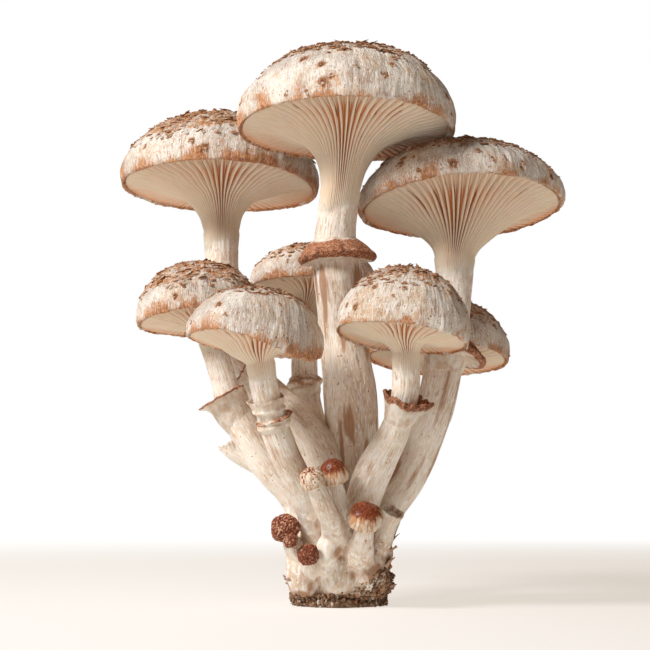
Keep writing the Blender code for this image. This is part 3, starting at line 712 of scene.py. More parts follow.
def cap(name, material):
    """A woolly dome with a ragged inrolled margin, tufts, and curled scales over its crown."""
    size = MUSHROOMS[name].radius
    large = size > LARGE_RADIUS
    columns, rows = LARGE_CAP_GRID if large else CAP_GRID
    flat, angle, run, outer = dome(name, columns, rows)
    share = np.clip(run / run[rows - 2], 0, 1)[:, None]
    normal = normals_of(flat)
    seed = seed_of(name)
    bent = angle + 0.9 / size * noise(flat / 5, seed + 20)

    def grain(wide, long):
        return ring(bent, size / wide, run[:, None] / long)

    # The crown is brown and rough, the rest has slow swells and fine ridges, and the margin is ragged.
    crown, strength, tufts = CROWNS[name]
    scale = size / FULL_RADIUS
    ragged_share = share + 0.09 * noise(flat / 5, seed + 1, 3)
    mottle = 0.72 + 0.5 * noise(flat / 3.5, seed + 13, 2)
    brown = strength * mottle * step(crown - ragged_share, -0.08, 0.14)
    push = 0.55 * scale * noise(flat / 13, seed + 2, 2) + 0.25 * noise(flat / 4, seed + 3)
    push += 0.22 * noise(grain(1.6, 8.0), seed + 4) + 0.16 * noise(grain(0.8, 4.0), seed + 5)
    push += brown * 0.40 * noise(flat / np.array([1.5, 1.5, 0.9]), seed + 6, 2)
    edge = step(share, 0.91, 0.98)
    push += edge * 0.18 * noise(flat / 1.5, seed + 7, 2)
    push *= outer * step(1.02 - share, 0.0, 0.06)
    drop = edge * outer * (0.28 * noise(flat / 2.0, seed + 8, 2) - 0.1)
    if name in DROOPS:
        towards, amount = DROOPS[name]
        side = np.clip(np.cos(angle - math.radians(towards)), 0, 1) ** 3
        drop = drop - amount * side * step(share, 0.55, 0.98) * outer
    grid = flat + normal * push[..., None]
    grid[..., 2] += drop
    normal = normals_of(grid)
    down = unit(np.gradient(grid, axis=0))

    # Stains gather above the margin, and a thin brown line runs along the lip.
    band = step(share, 0.76, 0.95) * (0.46 + 1.25 * noise(flat / 6.5, seed + 9, 2))
    stain = band + 0.45 * edge + 0.30 * step(noise(flat / 6, seed + 10, 2), 0.2, 0.7) * step(share, 0.3, 0.7)
    lip = step(share, 0.955, 0.99)
    brown = np.maximum(brown, lip * step(noise(flat / 2.2, seed + 12, 2), -0.3, 0.4) * 0.8)
    dark = 0.65 * brown * step(noise(flat / np.array([1.8, 1.8, 0.7]), seed + 11, 2), 0.25, 0.6)

    # Tufts stand apart below the crown, each in a stained spot.
    draw = np.random.default_rng(seed)
    tuft_row = (draw.uniform(min(crown, 0.6) * 0.8, 0.94, tufts) * (rows - 2)).astype(int)
    tuft_column = draw.integers(0, columns, tufts)
    spread = (0.45 + 1.45 * draw.uniform(0, 1, tufts) ** 2) * scale**0.5
    for centre, wide in zip(grid[tuft_row, tuft_column], spread):
        near = np.exp(-(((grid - centre) ** 2).sum(axis=-1)) / wide**2)
        brown = np.maximum(brown, 1.2 * near)
        stain = np.maximum(stain, 0.85 * near**0.45)
        dark = np.maximum(dark, 0.8 * near**2)

    # Scales lie all over the crown, and every tuft is two small ones.
    scales = LARGE_SCALES if large else SCALES
    scale_row = (crown * 1.02 * np.sqrt(draw.uniform(0, 1, scales)) * (rows - 2)).astype(int)
    scale_column = draw.integers(0, columns, scales)
    beside = (np.repeat(tuft_column, 2) + draw.integers(-1, 2, 2 * tufts)) % columns
    row = np.concatenate([scale_row, np.repeat(tuft_row, 2)])
    column = np.concatenate([scale_column, beside])
    small = 2 * tufts
    widths = np.concatenate([draw.uniform(1.0, 4.2, scales), draw.uniform(0.7, 1.6, small)]) * scale**0.5
    lengths = np.concatenate([draw.uniform(0.8, 2.6, scales), draw.uniform(0.8, 1.7, small)]) * scale**0.5
    curl = 0.02 + 0.75 * draw.uniform(0, 1, scales) ** 3
    lifts = np.concatenate([curl, draw.uniform(0.15, 0.5, small)]) * scale**0.5

    values = {"grain": grain(0.5, 4.0), "brown": brown, "stain": stain * outer, "dark": dark * outer}
    top = flat[0].mean(axis=0) + np.array([0, 0, 0.1])
    points, spreads = close_grid(grid, values, top, np.array([0, 0, HOLLOW * size]))
    faces = shell_faces(*grid.shape[:2])
    at = (row, column)
    sizes = (widths, lengths, lifts)
    extra, extra_faces, tip = flakes(grid[at], normal[at], down[at], *sizes, draw, len(points))
    tone = np.repeat(draw.uniform(0.0, 1.0, len(row)), FLAKE_POINTS)[:, None]
    spreads["grain"] = np.vstack([spreads["grain"], extra * 1.5])
    spreads["brown"] = np.vstack([spreads["brown"], 1.15 * tone - 0.25 + 0.3 * tip])
    spreads["stain"] = np.vstack([spreads["stain"], 0.35 + 0.5 * tip])
    spreads["dark"] = np.vstack([spreads["dark"], 0.5 * tone**3 * tip**2])
    points = np.vstack([points, extra]) @ np.array(lean(MUSHROOMS[name])).T + np.array(MUSHROOMS[name].middle)
    add_piece("fine_cap_" + name, points, faces + extra_faces, spreads, material, ["cap_" + name])


# Gills.


def stem_path(shape):
    return curve(shape.stem, 240, 3)


GillRows = namedtuple("GillRows", "radius gap inward share turns centres run past rim rim_top depth_scale")


def gill_rows(name, rows, tail):
    """What the rows of a set of gills have in common, from the rim to the neck and on down the stem."""
    shape = MUSHROOMS[name]
    turn = lean(shape)
    middle = Vector(shape.middle)
    neck = shape.stem[0]
    end = np.array(turn.transposed() @ (Vector(neck[:3]) - middle))
    neck_radius = neck[3]
    lip = LIP * shape.radius
    rim = lip - 0.5
    rim_top = HOLLOW * shape.radius * (1 - rim / lip) - GAP
    depth_scale = min(1.0, 0.35 + 0.65 * shape.radius / FULL_RADIUS)
    knots = []
    for out, fall, hang, deep in STRAIGHT_EDGE if name in STRAIGHT else GILL_EDGE:
        height = rim_top - RIM_WALL + fall * (end[2] - rim_top + RIM_WALL) - hang * depth_scale
        knots.append((neck_radius + out * (rim - neck_radius), height, fall, deep * depth_scale))
    edge = curve(knots, rows, 2)
    slope = unit(np.gradient(edge[:, :2], axis=0))
    inward = np.stack([slope[:, 1], -slope[:, 0]], axis=-1)
    inward *= np.where(inward[:, 1:] + 0.2 * -inward[:, :1] < 0, -1, 1)  # turns it towards the flesh
    # Below the neck the rows follow the stem and the gills fade into it.
    path = stem_path(shape)
    wanted = np.linspace(0, GILL_FADE, tail + 1)[1:]
    below = np.stack([np.interp(wanted, run_along(path, 3), column) for column in path.T], axis=1)
    local = (np.vstack([neck[:3], below[:, :3]]) - np.array(middle)) @ np.array(turn)
    level = Matrix.Identity(3).to_quaternion()
    stem_turns = turns_along(local, level)
    neck_turn = Matrix(stem_turns[0].tolist()).to_quaternion()
    settle = step(np.arange(rows) / (rows - 1), 0.45, 1.0)
    upper = np.array([np.array(level.slerp(neck_turn, float(share)).to_matrix()) for share in settle])
    centres = np.stack([end[0] * edge[:, 2], end[1] * edge[:, 2], edge[:, 1]], axis=-1)
    fade = np.linspace(0, 1, tail + 1)[1:]
    run = run_along(edge, 2)
    return GillRows(
        radius=np.concatenate([edge[:, 0], below[:, 3] + 0.35 * (1 - fade) - 0.75 * fade]),
        gap=np.concatenate([edge[:, 3], edge[-1, 3] * (1 - fade) ** 1.5 * 0.8 + 0.02]),
        inward=np.vstack([inward, np.tile([-1.0, 0.0], (tail, 1))]),
        share=np.concatenate([1 - (edge[:, 0] - neck_radius) / (rim - neck_radius), np.ones(tail)]),
        turns=np.vstack([upper, stem_turns[1:]]),
        centres=np.vstack([centres, local[1:]]),
        run=np.concatenate([run, run[-1] + wanted]),
        past=step(np.concatenate([np.zeros(rows), fade]), 0.0, 0.7),
        rim=rim,
        rim_top=rim_top,
        depth_scale=depth_scale,
    )


def blades(slots, seed, size, form):
    """The angles of the gills' sides and of the gaps between them, and how far each is set in."""
    draw = np.random.default_rng(seed)
    pitch = TAU / slots
    slot = np.arange(slots)
    share = form.share[:, None]
    gap = form.gap[:, None]
    # Of five gills one runs to the neck, one stops half way down, and three stop near the rim.
    offset = (slot + 2) % 5 - 2
    kinds = [offset == 0, offset == 2]
    stop = np.select(kinds, [2.0, 0.50], 0.26) + draw.uniform(-0.06, 0.06, slots)
    front = step(-np.sin(slot * pitch), 0.45, 0.85)
    hind = step(np.sin(slot * pitch), -0.1, 0.2)
    low = np.select(kinds, [0.0, 0.15 + 0.45 * front], 0.15 + 0.70 * np.maximum(front, hind))
    low = low + draw.uniform(0, 0.10, slots)
    # Long gills take more of the room near the neck.
    own = 0.5 + 1.3 * step(share, 0.12, 0.60) * np.ones(slots)
    others = (2.5 - own) / 2
    at = np.where(offset == 0, 0, np.sign(offset) * (own + (np.abs(offset) - 0.5) * others))
    half = np.where(offset == 0, own, others / 2)
    sway = noise(together(slot / 1.7, share * 2.2, seed), seed, 2)
    angle = (slot - offset + at) * pitch + sway * 0.32 * pitch * (share * 3).clip(0, 1)
    blade = np.clip(BLADE / np.maximum(form.radius[:, None], 1) / pitch, 0.05, 0.62 * half)
    gone = step(share, stop - 0.10, stop + 0.06)
    columns = [angle + side * pitch for side in (-0.92 * half, -blade, blade, 0.92 * half)]
    full = np.ones_like(gone)
    edge = np.maximum(low, gone)
    insets = [gap * depth for depth in (full, edge, edge, full)]
    angles = np.stack(columns, axis=-1).reshape(len(share), -1)
    inset = np.stack(insets, axis=-1).reshape(len(share), -1)
    uneven = 0.12 * noise(together(angles * size / 3, share * 4, 7.0), seed + 1)
    return angles, inset + uneven * (gap > 0.6)


def gills(name, material):
    """One closed mesh of thin blades: long ones down to the neck, shorter ones between them at the rim."""
    shape = MUSHROOMS[name]
    size = shape.radius
    slots, rows, tail = LARGE_GILL_GRID if size > LARGE_RADIUS else GILL_GRID
    form = gill_rows(name, rows, tail)
    share = form.share[:, None]
    gap = form.gap[:, None]
    angles, inset = blades(slots, seed_of(name + " gills"), size, form)
    rear = step(np.sin(angles), 0.05, 0.20)
    raised = form.depth_scale * np.interp(share, *zip(*RAISED))
    swell, lift = waves(name)
    reach = (form.radius[:, None] + form.inward[:, :1] * inset) * (1 + (swell(angles) - 1) * (1 - share))
    up = form.inward[:, 1:] * inset * (1 - 0.3 * rear) + raised * rear
    up += lift(angles) * size * (reach / size) ** 3
    grid = np.einsum("rij,rcj->rci", form.turns, ring(angles, reach, up)) + form.centres[:, None]
    lid_height = form.rim_top + 0.15 + lift(angles[0]) * size * (form.rim / size) ** 3
    lid = ring(angles[0], form.rim * swell(angles[0]), lid_height)
    grid = np.vstack([lid[None], grid])

    # Painted light: where light has gone deep into a gap or through the rim it is painted as an orange glow,
    # most of all at the back.
    with_lid = np.vstack([angles[:1], angles])
    from_rim = np.concatenate([[0], form.share])[:, None]
    deep = np.vstack([np.ones((1, inset.shape[1])), np.clip(inset / np.maximum(gap, 0.3), 0, 1)])
    deep *= np.concatenate([[0], np.clip(form.gap / 1.1, 0, 1)])[:, None]
    back = step(np.sin(with_lid), -0.3, 0.5)
    deep *= 1 - 0.45 * step(-from_rim, -0.45, -0.20) * (1 - back)
    deep = np.clip(deep * (1 + 0.2 * back), 0, 1)
    rim_glow = (0.42 * step(1 - from_rim, 0.45, 0.90) + 0.5 * step(1 - from_rim, 0.88, 1.0)) * (0.2 + 0.8 * back)
    past = np.concatenate([[0], form.past])[:, None] * np.ones_like(deep)
    grain = ring(with_lid, size, np.concatenate([[0], form.run])[:, None] / 5)
    # The painted glow is kept as "deep" for the gaps and as "rim" for the rim.
    values = {"grain": grain, "deep": deep, "rim": rim_glow, "neck": past}
    points, spreads = close_grid(grid, values, np.array([0, 0, HOLLOW * size - GAP]))
    points = points @ np.array(lean(shape)).T + np.array(shape.middle)
    faces = shell_faces(*grid.shape[:2])
    add_piece("fine_gills_" + name, points, faces, spreads, material, ["gills_" + name])


# Stems and what grows on them.


def tube(path, turns, radius, angle):
    """Rings round a path, each square to it."""
    return path[:, None, :3] + np.einsum("rij,rcj->rci", turns, ring(angle, radius))


def fibre_grain(angle, run, radius, wide, long):
    """Places round and along a stem, counted in cells of a width and a length."""
    return ring(angle, radius / wide, run[:, None] / long)


def torn_opening(grid, path, run, angle, turn, opening, seed):
    """A stem's grid with its top torn open, how far along each row lies, and how much each row is inside."""
    deep, torn = opening
    near = np.exp(-run / 2.2)[:, None]
    circle = ring(angle, 1.0)
    rise = near * torn * (noise(circle * 1.5, seed + 8) + 0.6 * noise(circle * 4, seed + 9))
    grid = grid + rise[..., None] * turn[:, 2]
    last = int(deep / SHOOT_SPACING)
    axis = path[: last + 1, None, :3]
    wall = 0.6 + 1.2 * (run[: last + 1] / deep)[:, None, None]
    reach = np.linalg.norm(grid[: last + 1] - axis, axis=-1, keepdims=True)
    inner = axis + (grid[: last + 1] - axis) * np.clip(1 - wall / reach, 0.1, 1)
    inside = np.concatenate([np.ones(last), np.full(2, 0.5), np.zeros(len(path) - 1)])[:, None]
    return np.vstack([inner[::-1], grid]), np.concatenate([run[: last + 1][::-1], run]), inside


def stalk(name, knots, columns, spacing, fluting, streaks, material, opening=None):
    """A stem with fibres, flutes and streaks along it. An opening makes its top a torn hollow."""
    path = curve(knots, int(run_along(curve(knots, 60, 3), 3)[-1] / spacing), 3)
    run = run_along(path, 3)
    seed = seed_of(name + " stem")
    angle = all_round(columns)
    turns = turns_along(path)
    smooth = tube(path, turns, path[:, 3:], angle)
    wide = float(path[:, 3].mean())
    push = 0.28 * noise(smooth / 8, seed, 2)
    push += fluting * noise(fibre_grain(angle, run, wide, 2.6, 22), seed + 1, 2)
    push += 0.11 * noise(fibre_grain(angle, run, wide, 1.0, 9), seed + 2)
    push += 0.07 * noise(fibre_grain(angle, run, wide, 0.5, 5), seed + 3)
    radius = path[:, 3:] * (1 + 0.03 * np.sin(2 * angle + seed))
    if not opening:
        radius = radius * (1 - 0.28 * np.exp(-run / 2.5)[:, None])
    grid = tube(path, turns, radius + push, angle)
    inside = np.zeros((len(path), 1))
    if opening:
        grid, run, inside = torn_opening(grid, path, run, angle, turns[0], opening, seed)
    streak = step(noise(fibre_grain(angle, run, wide, 2.2, 16), seed + 4, 2), 0.05, 0.6)
    brown = streaks(grid) * (0.35 + streak) + 0.35 * inside
    dark = 0.18 * inside + 0 * brown
    values = {"grain": fibre_grain(angle, run, wide, 0.7, 6), "brown": brown, "dark": dark}
    points, spreads = close_grid(grid, values)
    add_piece(name, points, shell_faces(*grid.shape[:2]), spreads, material, ["stem_cluster"])


THICK_STEM = 6  # radius at the neck
THICK_STEM_COLUMNS = 132
STEM_COLUMNS = 104
STEM_SPACING = 0.55  # between rows
SHOOT_COLUMNS = 72
SHOOT_SPACING = 0.5


def band_of(low, high, most, even=0.0):
    """Streaks between two heights, and brown that is spread evenly."""

    def streaks(grid):
        height = grid[..., 2]
        return most * step(height, low, low + 14) * step(-height, -high, -high + 8) + even

    return streaks


STREAKS = {
    "center_tall": band_of(38, 118, 0.85, 0.14),
    "left_tall": band_of(50, 84, 0.50, 0.04),
    "right_tall": band_of(30, 92, 0.50, 0.12),
    "left_mid": band_of(50, 74, 0.40),
    "left_front": band_of(36, 66, 0.40, 0.06),
    "back_mid": band_of(40, 80, 0.50, 0.08),
    "right_front": band_of(30, 66, 0.35, 0.06),
    "right_back": band_of(30, 80, 0.50, 0.10),
}


def stems(material):
    for name, shape in MUSHROOMS.items():
        columns = THICK_STEM_COLUMNS if shape.stem[0][3] > THICK_STEM else STEM_COLUMNS
        fluting = 0.42 if name == "center_tall" else 0.22
        stalk("stem_" + name, shape.stem, columns, STEM_SPACING, fluting, STREAKS[name], material)
    streaks = band_of(8, 60, 0.35)
    for name, knots in SHOOTS.items():
        opening = OPEN_SHOOTS.get(name)
        stalk("shoot_" + name, knots, SHOOT_COLUMNS, SHOOT_SPACING, 0.12, streaks, material, opening)


def collar(name, spec, material):
    """A torn ring of veil that flares or hangs from the stem to a ragged rim."""
    path = stem_path(MUSHROOMS[spec.stem])
    turns = turns_along(path)
    at = int(np.argmin(np.abs(path[:, 2] - spec.height)))
    stem = path[at, 3]
    reach, rim, skirt, upturn, arch, torn = spec[2:8]
    angle = all_round(240)
    middle = (stem + reach) / 2
    half_way = (upturn + arch) / 2
    domed = 0.6 if arch > 0 else -0.3
    knots = [
        (stem - 1.2, arch, 0.0),
        (stem + 0.15, arch, 0.05),
        (middle, half_way + domed, 0.5),
        (reach - 0.35 * rim, upturn + 0.40 * rim, 0.92),
        (reach, upturn, 1.0),
        (reach - 0.3 * rim, upturn - 0.5 * rim, 0.95),
        (middle, min(half_way, upturn) + domed - 0.8 * rim - 0.6, 0.5),
        (stem + 1.0, min(arch, 0) - 0.40 * skirt, 0.2),
        (stem + 0.4, min(arch, 0) * 0.5 - 0.70 * skirt, 0.05),
        (stem - 0.6, -skirt, 0.0),
    ]
    profile = curve(knots, 72, 2)
    seed = seed_of(name + " collar")
    circle = ring(angle, 1.0)
    loose = profile[:, 2:]
    slow = noise(circle * reach / 4.5, seed)
    quick = noise(circle * reach / 1.5, seed + 1, 2)
    side = 0.5 + 0.5 * np.cos(angle - math.radians(spec.towards))
    out = profile[:, :1] + loose**1.5 * (torn * (0.7 * slow + 0.7 * quick) + spec.flare * (2 * side - 1))
    up = profile[:, 1:2] + loose * torn * (0.8 * noise(circle * reach / 6, seed + 2) + 0.7 * quick)
    up = up - loose**1.5 * (spec.droop * side**3 + spec.hang * np.cos(angle) ** 2)
    local = ring(angle, out, up)
    normal = normals_of(local)
    rough = 0.13 * noise(local / 0.9, seed + 3, 2) * min(1, 0.4 + rim / 3)
    folds = ring(angle, 7, profile[:, 1:2] / 6)
    local = local + normal * (loose * rough + 0.25 * (1 - loose) * noise(folds, seed + 4))[..., None]
    up_stem = turns[at][:, 2]
    right = unit(np.array([1, 0, 0]) - up_stem * up_stem[0])
    grid = local @ np.array([right, np.cross(up_stem, right), up_stem]) + path[at, :3]
    top = (np.arange(len(profile)) < np.argmax(profile[:, 0]))[:, None]
    rim_share = step(loose, 0.70 if rim > 1 else 0.88, 0.98)
    brown = spec.brown * np.where(top, 0.35 + 0.65 * step(loose, 0.1, 0.5), rim_share) + 0.2 * slow
    dark = 0.55 * min(1, spec.brown) * rim_share * step(noise(local / 1.2, seed + 5, 2), 0.05, 0.5)
    dark = dark + max(0, spec.brown - 1) * loose
    points, spreads = close_grid(grid, {"brown": brown, "dark": dark})
    faces = shell_faces(*grid.shape[:2])
    add_piece("collar_" + name, points, faces, spreads, material, ["stem_cluster"])


def shoot_axis(name):
    top, below = (np.array(point[:3]) for point in SHOOTS[name][:2])
    return unit(top - below)


def bud(name, spec, material):
    """A small closed cap with grains on it."""
    radius, rise, grain_height, grain_width, reach, pale = spec
    axis = Vector(shoot_axis(name))
    turn = np.array(axis.to_track_quat("Z", "Y").to_matrix())
    foot = np.array(SHOOTS[name][0][:3]) + np.array(axis) * GAP
    outline = curve([(out * radius, up * rise) for out, up in BUTTON_OUTLINE], 70, 2)[1:]
    outline = np.vstack([outline, [(0.5 * radius, 0.3)]])
    angle = all_round(150)
    swell, _ = waves(name)
    seed = seed_of(name + " bud")
    flat = ring(angle, outline[:, :1] * swell(angle), outline[:, 1:])
    normal = normals_of(flat)
    bent = flat + (0.45 if pale else 0.0) * noise(flat / 1.1, seed + 4)[..., None]
    height, tint = grains(bent / grain_width, seed)
    share = (run_along(outline, 2) / run_along(outline, 2)[-1])[:, None]
    ribs = 0.09 * noise(ring(angle, 6), seed + 1) * step(share, 0.25, 0.6) * (share < 0.95)
    uneven = 0.25 + 0.8 * grain_height
    push = grain_height * (height - 0.6) + ribs + uneven * noise(flat / 2.6, seed + 3, 2)
    grid = (flat + normal * push[..., None]) @ turn.T + foot
    brown = step(reach - share + 0.10 * noise(flat / 1.5, seed + 2, 2), -0.30, 0.30)
    brown = np.maximum(brown, 0.75 * step(share, 0.80, 0.86) * step(-share, -0.93, -0.88))
    if name == "spotted":
        brown = step(tint - 1.3 * share, 0.20, 0.28) * step(height, 0.35, 0.6)
    light = 0.7 * step(pale - tint, 0.0, 0.15) * step(height, 0.25, 0.7)
    points, spreads = close_grid(grid, {"brown": brown, "pale": light, "grain": ring(angle, 5, share * 3)})
    faces = shell_faces(*grid.shape[:2])
    add_piece("fine_bud_" + name, points, faces, spreads, material, ["bud_cap_" + name])


# Base and soil.


def ball(middle, radius, stretch, rows=14, columns=24):
    """Points of a ball, ready for shell_faces, and the size of its grid."""
    fall = np.linspace(0, math.pi, rows + 2)[1:-1, None]
    local = ring(all_round(columns), np.sin(fall), np.cos(fall) * stretch)
    tips = np.array([[0, 0, stretch], [0, 0, -stretch]])
    return np.vstack([local.reshape(-1, 3), tips]) * radius + np.array(middle), (rows, columns)


def base_shapes():
    """Closed shells that the base is fused from, as points and grid sizes."""
    rows = curve([(radius, height) for height, radius in reversed(BASE)], 40, 2)
    angle = all_round(80)
    height = rows[:, 1:]
    fold = 0.03 * np.sin(3 * angle + 1 + height / 9) + 0.045 * np.sin(7 * angle - height / 12)
    grid = ring(angle, rows[:, :1] * (1 + fold), height) * LONGER
    yield close_grid(grid, {})[0], grid.shape[:2]
    for *middle, radius in LOBES + FILLING:
        yield ball(middle, radius, LUMP_STRETCH)
    for knots in [shape.stem for shape in MUSHROOMS.values()] + list(SHOOTS.values()):
        path = curve(knots, 90, 3)
        path = path[path[:, 2] < ROOTS_FROM][4:]
        path[:, 3] += np.linspace(*ROOT_SWELL, len(path))
        grid = tube(path, turns_along(path), path[:, 3:], all_round(28))
        yield close_grid(grid, {})[0], grid.shape[:2]


def fused_base():
    """All shells of the base run together: a mesh, its points, its outward directions and its hollows."""
    points = []
    faces = []
    total = 0
    for part, size in base_shapes():
        faces += shell_faces(*size, total)
        points.append(part)
        total += len(part)
    rough = bpy.data.meshes.new("base_rough")
    rough.from_pydata((np.vstack(points) * MM).tolist(), [], faces)
    holder = add_object("base_rough", rough)
    remesh = holder.modifiers.new("Remesh", "REMESH")
    remesh.mode = "VOXEL"
    remesh.voxel_size = VOXEL * MM
    soften = holder.modifiers.new("Smooth", "SMOOTH")
    soften.factor = 0.5

    def softened(iterations):
        soften.iterations = iterations
        graph = bpy.context.evaluated_depsgraph_get()
        made = bpy.data.meshes.new_from_object(holder.evaluated_get(graph))
        spots = np.empty(len(made.vertices) * 3)
        made.vertices.foreach_get("co", spots)
        return made, spots.reshape(-1, 3) / MM

    even, spots = softened(16)
    flatter, smooth = softened(90)
    bpy.data.objects.remove(holder)
    bpy.data.meshes.remove(flatter)
    ways = np.empty(spots.size)
    even.vertex_normals.foreach_get("vector", ways)
    ways = ways.reshape(-1, 3)
    return even, spots, ways, ((smooth - spots) * ways).sum(axis=1)


def base(material):
    """The swollen foot: its lumps and the roots of all stems run together with soft hollows between them."""
    even, spots, ways, crease = fused_base()
    faces = [tuple(polygon.vertices) for polygon in even.polygons]
    bpy.data.meshes.remove(even)
    push = 0.75 * noise(spots / np.array([6, 6, 9]), 31, 2) + 0.22 * noise(spots / 1.6, 32, 2)
    spots = spots + ways * push[:, None] * step(spots[:, 2:3], 3.5, 6)
    spots[:, 2] = np.maximum(spots[:, 2], BASE_BOTTOM)
    height = spots[:, 2]
    side = noise(spots / 6, 33, 2)
    brown = 0.50 * step(side, 0.0, 0.9) + 0.8 * step(-height + 3 * side, -9, -3.5)
    # The lower right side is browner: partly soil dirt, partly painted shade on the side away from the key
    # light.
    brown += (0.55 + 0.5 * side) * step(spots[:, 0] + 3 * side, 4, 15) * step(-height, -34, -12)
    brown += 0.12 + 0.35 * step(noise(spots / 4, 36, 2), 0.1, 0.6)
    # Painted shade: the creases between the lumps are browner.
    brown += 1.0 * step(crease, 0.12, 0.8)
    # Stains, and painted shade in the hollow beside the knob.
    for *place_mm, radius, strength in STAINS_AND_SHADE:
        brown += strength * np.exp(-((spots - place_mm) ** 2).sum(axis=1) / radius**2)
    dark = 0.6 * step(noise(spots / 1.3, 34, 2), 0.42, 0.6) * step(-height, -14, -4)

    # Torn brown bits stick out at the right and a few at the left.
    draw = np.random.default_rng(5)
    out = spots[:, 0] * 1.2 + noise(spots / 3, 35) * 5
    torn = draw.choice(np.flatnonzero((out > 13) & (height > 5) & (height < 22)), 14)
    few = draw.choice(np.flatnonzero((out < -14) & (height > 4) & (height < 9)), 5)
    picked = np.concatenate([torn, few])
    upward = unit(np.array([0, 0, 1]) - ways[picked] * ways[picked, 2:3])
    shrink = np.where(np.arange(len(picked)) < len(torn), 1.0, 0.55)
    sizes = [shrink * draw.uniform(*ends, len(picked)) for ends in ((3.0, 6.0), (1.8, 3.6), (0.3, 1.7))]
    extra, extra_faces, tip = flakes(spots[picked], ways[picked], upward, *sizes, draw, len(spots))
    values = {
        "grain": np.vstack([spots / np.array([2.4, 2.4, 6.0]), extra]),
        "brown": np.concatenate([brown, 0.7 + 0.5 * tip[:, 0]])[:, None],
        "dark": np.concatenate([dark, 0.4 * tip[:, 0] ** 2])[:, None],
    }
    points = np.vstack([spots, extra])
    add_piece("base", points, faces + extra_faces, values, material, ["stem_cluster"])
    return spots, ways


def soil(material, skin, ways):
    """A thin crust under the base, with crumbs on its edge and on the base's skin, most at the right."""
    draw = np.random.default_rng(11)
    angle = all_round(200)
    rows = curve(CRUST, 30, 2)
    flat = ring(angle, SOIL_RADIUS) * LONGER
    rough = 1 + 0.05 * noise(flat / 3, 41, 2) + 0.04 * noise(flat / 8, 43)
    grid = ring(angle, SOIL_RADIUS * rows[:, :1] * rough, rows[:, 1:]) * LONGER
    bumps = noise(grid / 0.9, 42, 2)
    grid = grid + normals_of(grid) * (0.35 * bumps * step(grid[..., 2], 0.05, 0.6))[..., None]
    grid[..., 2] = np.clip(grid[..., 2], 0, None)
    points, spreads = close_grid(grid, {"tint": 0.35 + 0.4 * bumps})
    faces = shell_faces(*grid.shape[:2])
    total = [points]
    tints = [spreads["tint"]]
    offset = len(points)
    crumb, crumb_grid = ball((0, 0, 0), 1, 1, 4, 7)
    # Crumbs cling to the base where it is low, and higher up at the right.
    right = step(skin[:, 0] - 0.3 * skin[:, 1] + 4 * noise(skin / 5, 44, 2), 5, 21)
    limit = 4.3 + 8.5 * right + 1.8 * noise(skin / 2.5, 45, 2)
    clinging = np.flatnonzero((skin[:, 2] < limit) & (skin[:, 2] > BASE_BOTTOM - 0.1))
    for number in range(CRUMBS):
        size = 0.18 + 0.62 * draw.uniform(0, 1) ** 2.5
        if number % 2:
            picked = draw.choice(clinging)
            middle = skin[picked] + ways[picked] * size * 0.3
        else:
            turn = draw.uniform(0, TAU)
            out = SOIL_RADIUS * (1.0 + draw.uniform(-0.06, 0.05))
            middle = ring(turn, out, draw.uniform(0, 1) * 3.6 + size * 0.5) * LONGER
        shape = crumb * (1 + 0.35 * draw.uniform(-1, 1, (len(crumb), 1))) * draw.uniform(0.6, 1.2, 3) * size
        shape = middle + shape
        shape[:, 2] = np.maximum(shape[:, 2], 0)
        total.append(shape)
        tints.append(np.full((len(crumb), 1), draw.uniform(0, 1)))
        faces += shell_faces(*crumb_grid, offset)
        offset += len(crumb)
    values = {"tint": np.vstack(tints)}
    add_piece("fine_soil", np.vstack(total), faces, values, material, ["soil_crust"])


# Camera, floor and light.

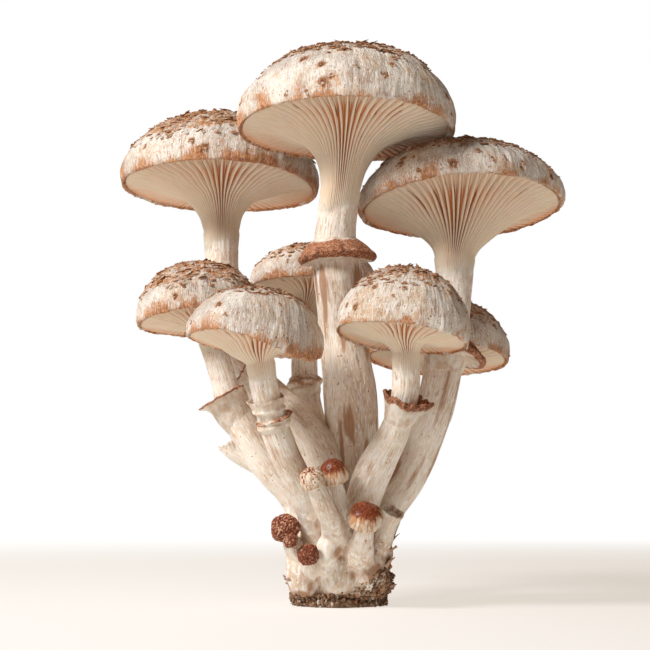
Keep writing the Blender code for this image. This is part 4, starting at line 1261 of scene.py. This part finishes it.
CAMERA_PLACE = (-0.004774, -0.527, 0.035)  # metres, as are the places and sizes below
CAMERA_PITCH = math.radians(6.5276)  # upwards from level
LENS = 85
SENSOR = 36
FLOOR_REACH = 4.0
FLOOR_DARK = (0.26, 0.26, 0.26)
FLOOR_PALE = (0.30, 0.30, 0.30)
GLOW_LEFT = (0.75, 0.705, 0.65)  # what the floor adds to the light at its left and right
GLOW_RIGHT = (0.63, 0.575, 0.51)
WHITE = (1, 1, 1)
AMBIENT = (0.075, 0.043, 0.022)
KEY_PLACE = Vector((-0.72, -0.56, 0.77))
KEY_AIM = Vector((0, 0, 0.1))
KEY_SIZE = 0.34
KEY_POWER = 14.5
KEY_COLOUR = (0.98, 0.99, 1.0)


def add_camera():
    data = bpy.data.cameras.new("camera")
    data.lens = LENS
    data.sensor_width = SENSOR
    camera = add_object("camera", data)
    camera.location = CAMERA_PLACE
    camera.rotation_euler = (math.pi / 2 + CAMERA_PITCH, 0, 0)
    bpy.context.scene.camera = camera


def add_floor():
    mesh = bpy.data.meshes.new("floor")
    corners = [(x * FLOOR_REACH, y * FLOOR_REACH, 0) for x, y in ((-1, -1), (1, -1), (1, 1), (-1, 1))]
    mesh.from_pydata(corners, [], [(0, 1, 2, 3)])
    mesh.materials.append(stage_material())
    add_object("floor", mesh)


def add_lights():
    """One soft key light from the left, and a world that lights little but shows white to the camera."""
    world = bpy.data.worlds.new("studio")
    world.use_nodes = True
    tree = world.node_tree
    direct = node(tree, "ShaderNodeLightPath").outputs["Is Camera Ray"]
    tree.links.new(mixed(tree, direct, AMBIENT, WHITE), tree.nodes["Background"].inputs["Color"])
    bpy.context.scene.world = world
    bpy.context.scene.view_settings.view_transform = "Standard"
    data = bpy.data.lights.new("key", "AREA")
    data.shape = "DISK"
    data.size = KEY_SIZE
    data.energy = KEY_POWER
    data.color = KEY_COLOUR
    light = add_object("key", data)
    light.location = KEY_PLACE
    light.rotation_euler = (KEY_AIM - KEY_PLACE).to_track_quat("-Z", "Y").to_euler()


def main():
    add_camera()
    add_lights()
    add_floor()
    cap_skin = cap_material()
    gill_skin = gill_material()
    flesh = flesh_material()
    veil = veil_material()
    for name in MUSHROOMS:
        cap(name, cap_skin)
        gills(name, gill_skin)
    stems(flesh)
    for name, spec in COLLARS.items():
        collar(name, spec, veil)
    bud_skin = bud_material()
    for name, spec in BUDS.items():
        bud(name, spec, bud_skin)
    soil(soil_material(), *base(flesh))


main()
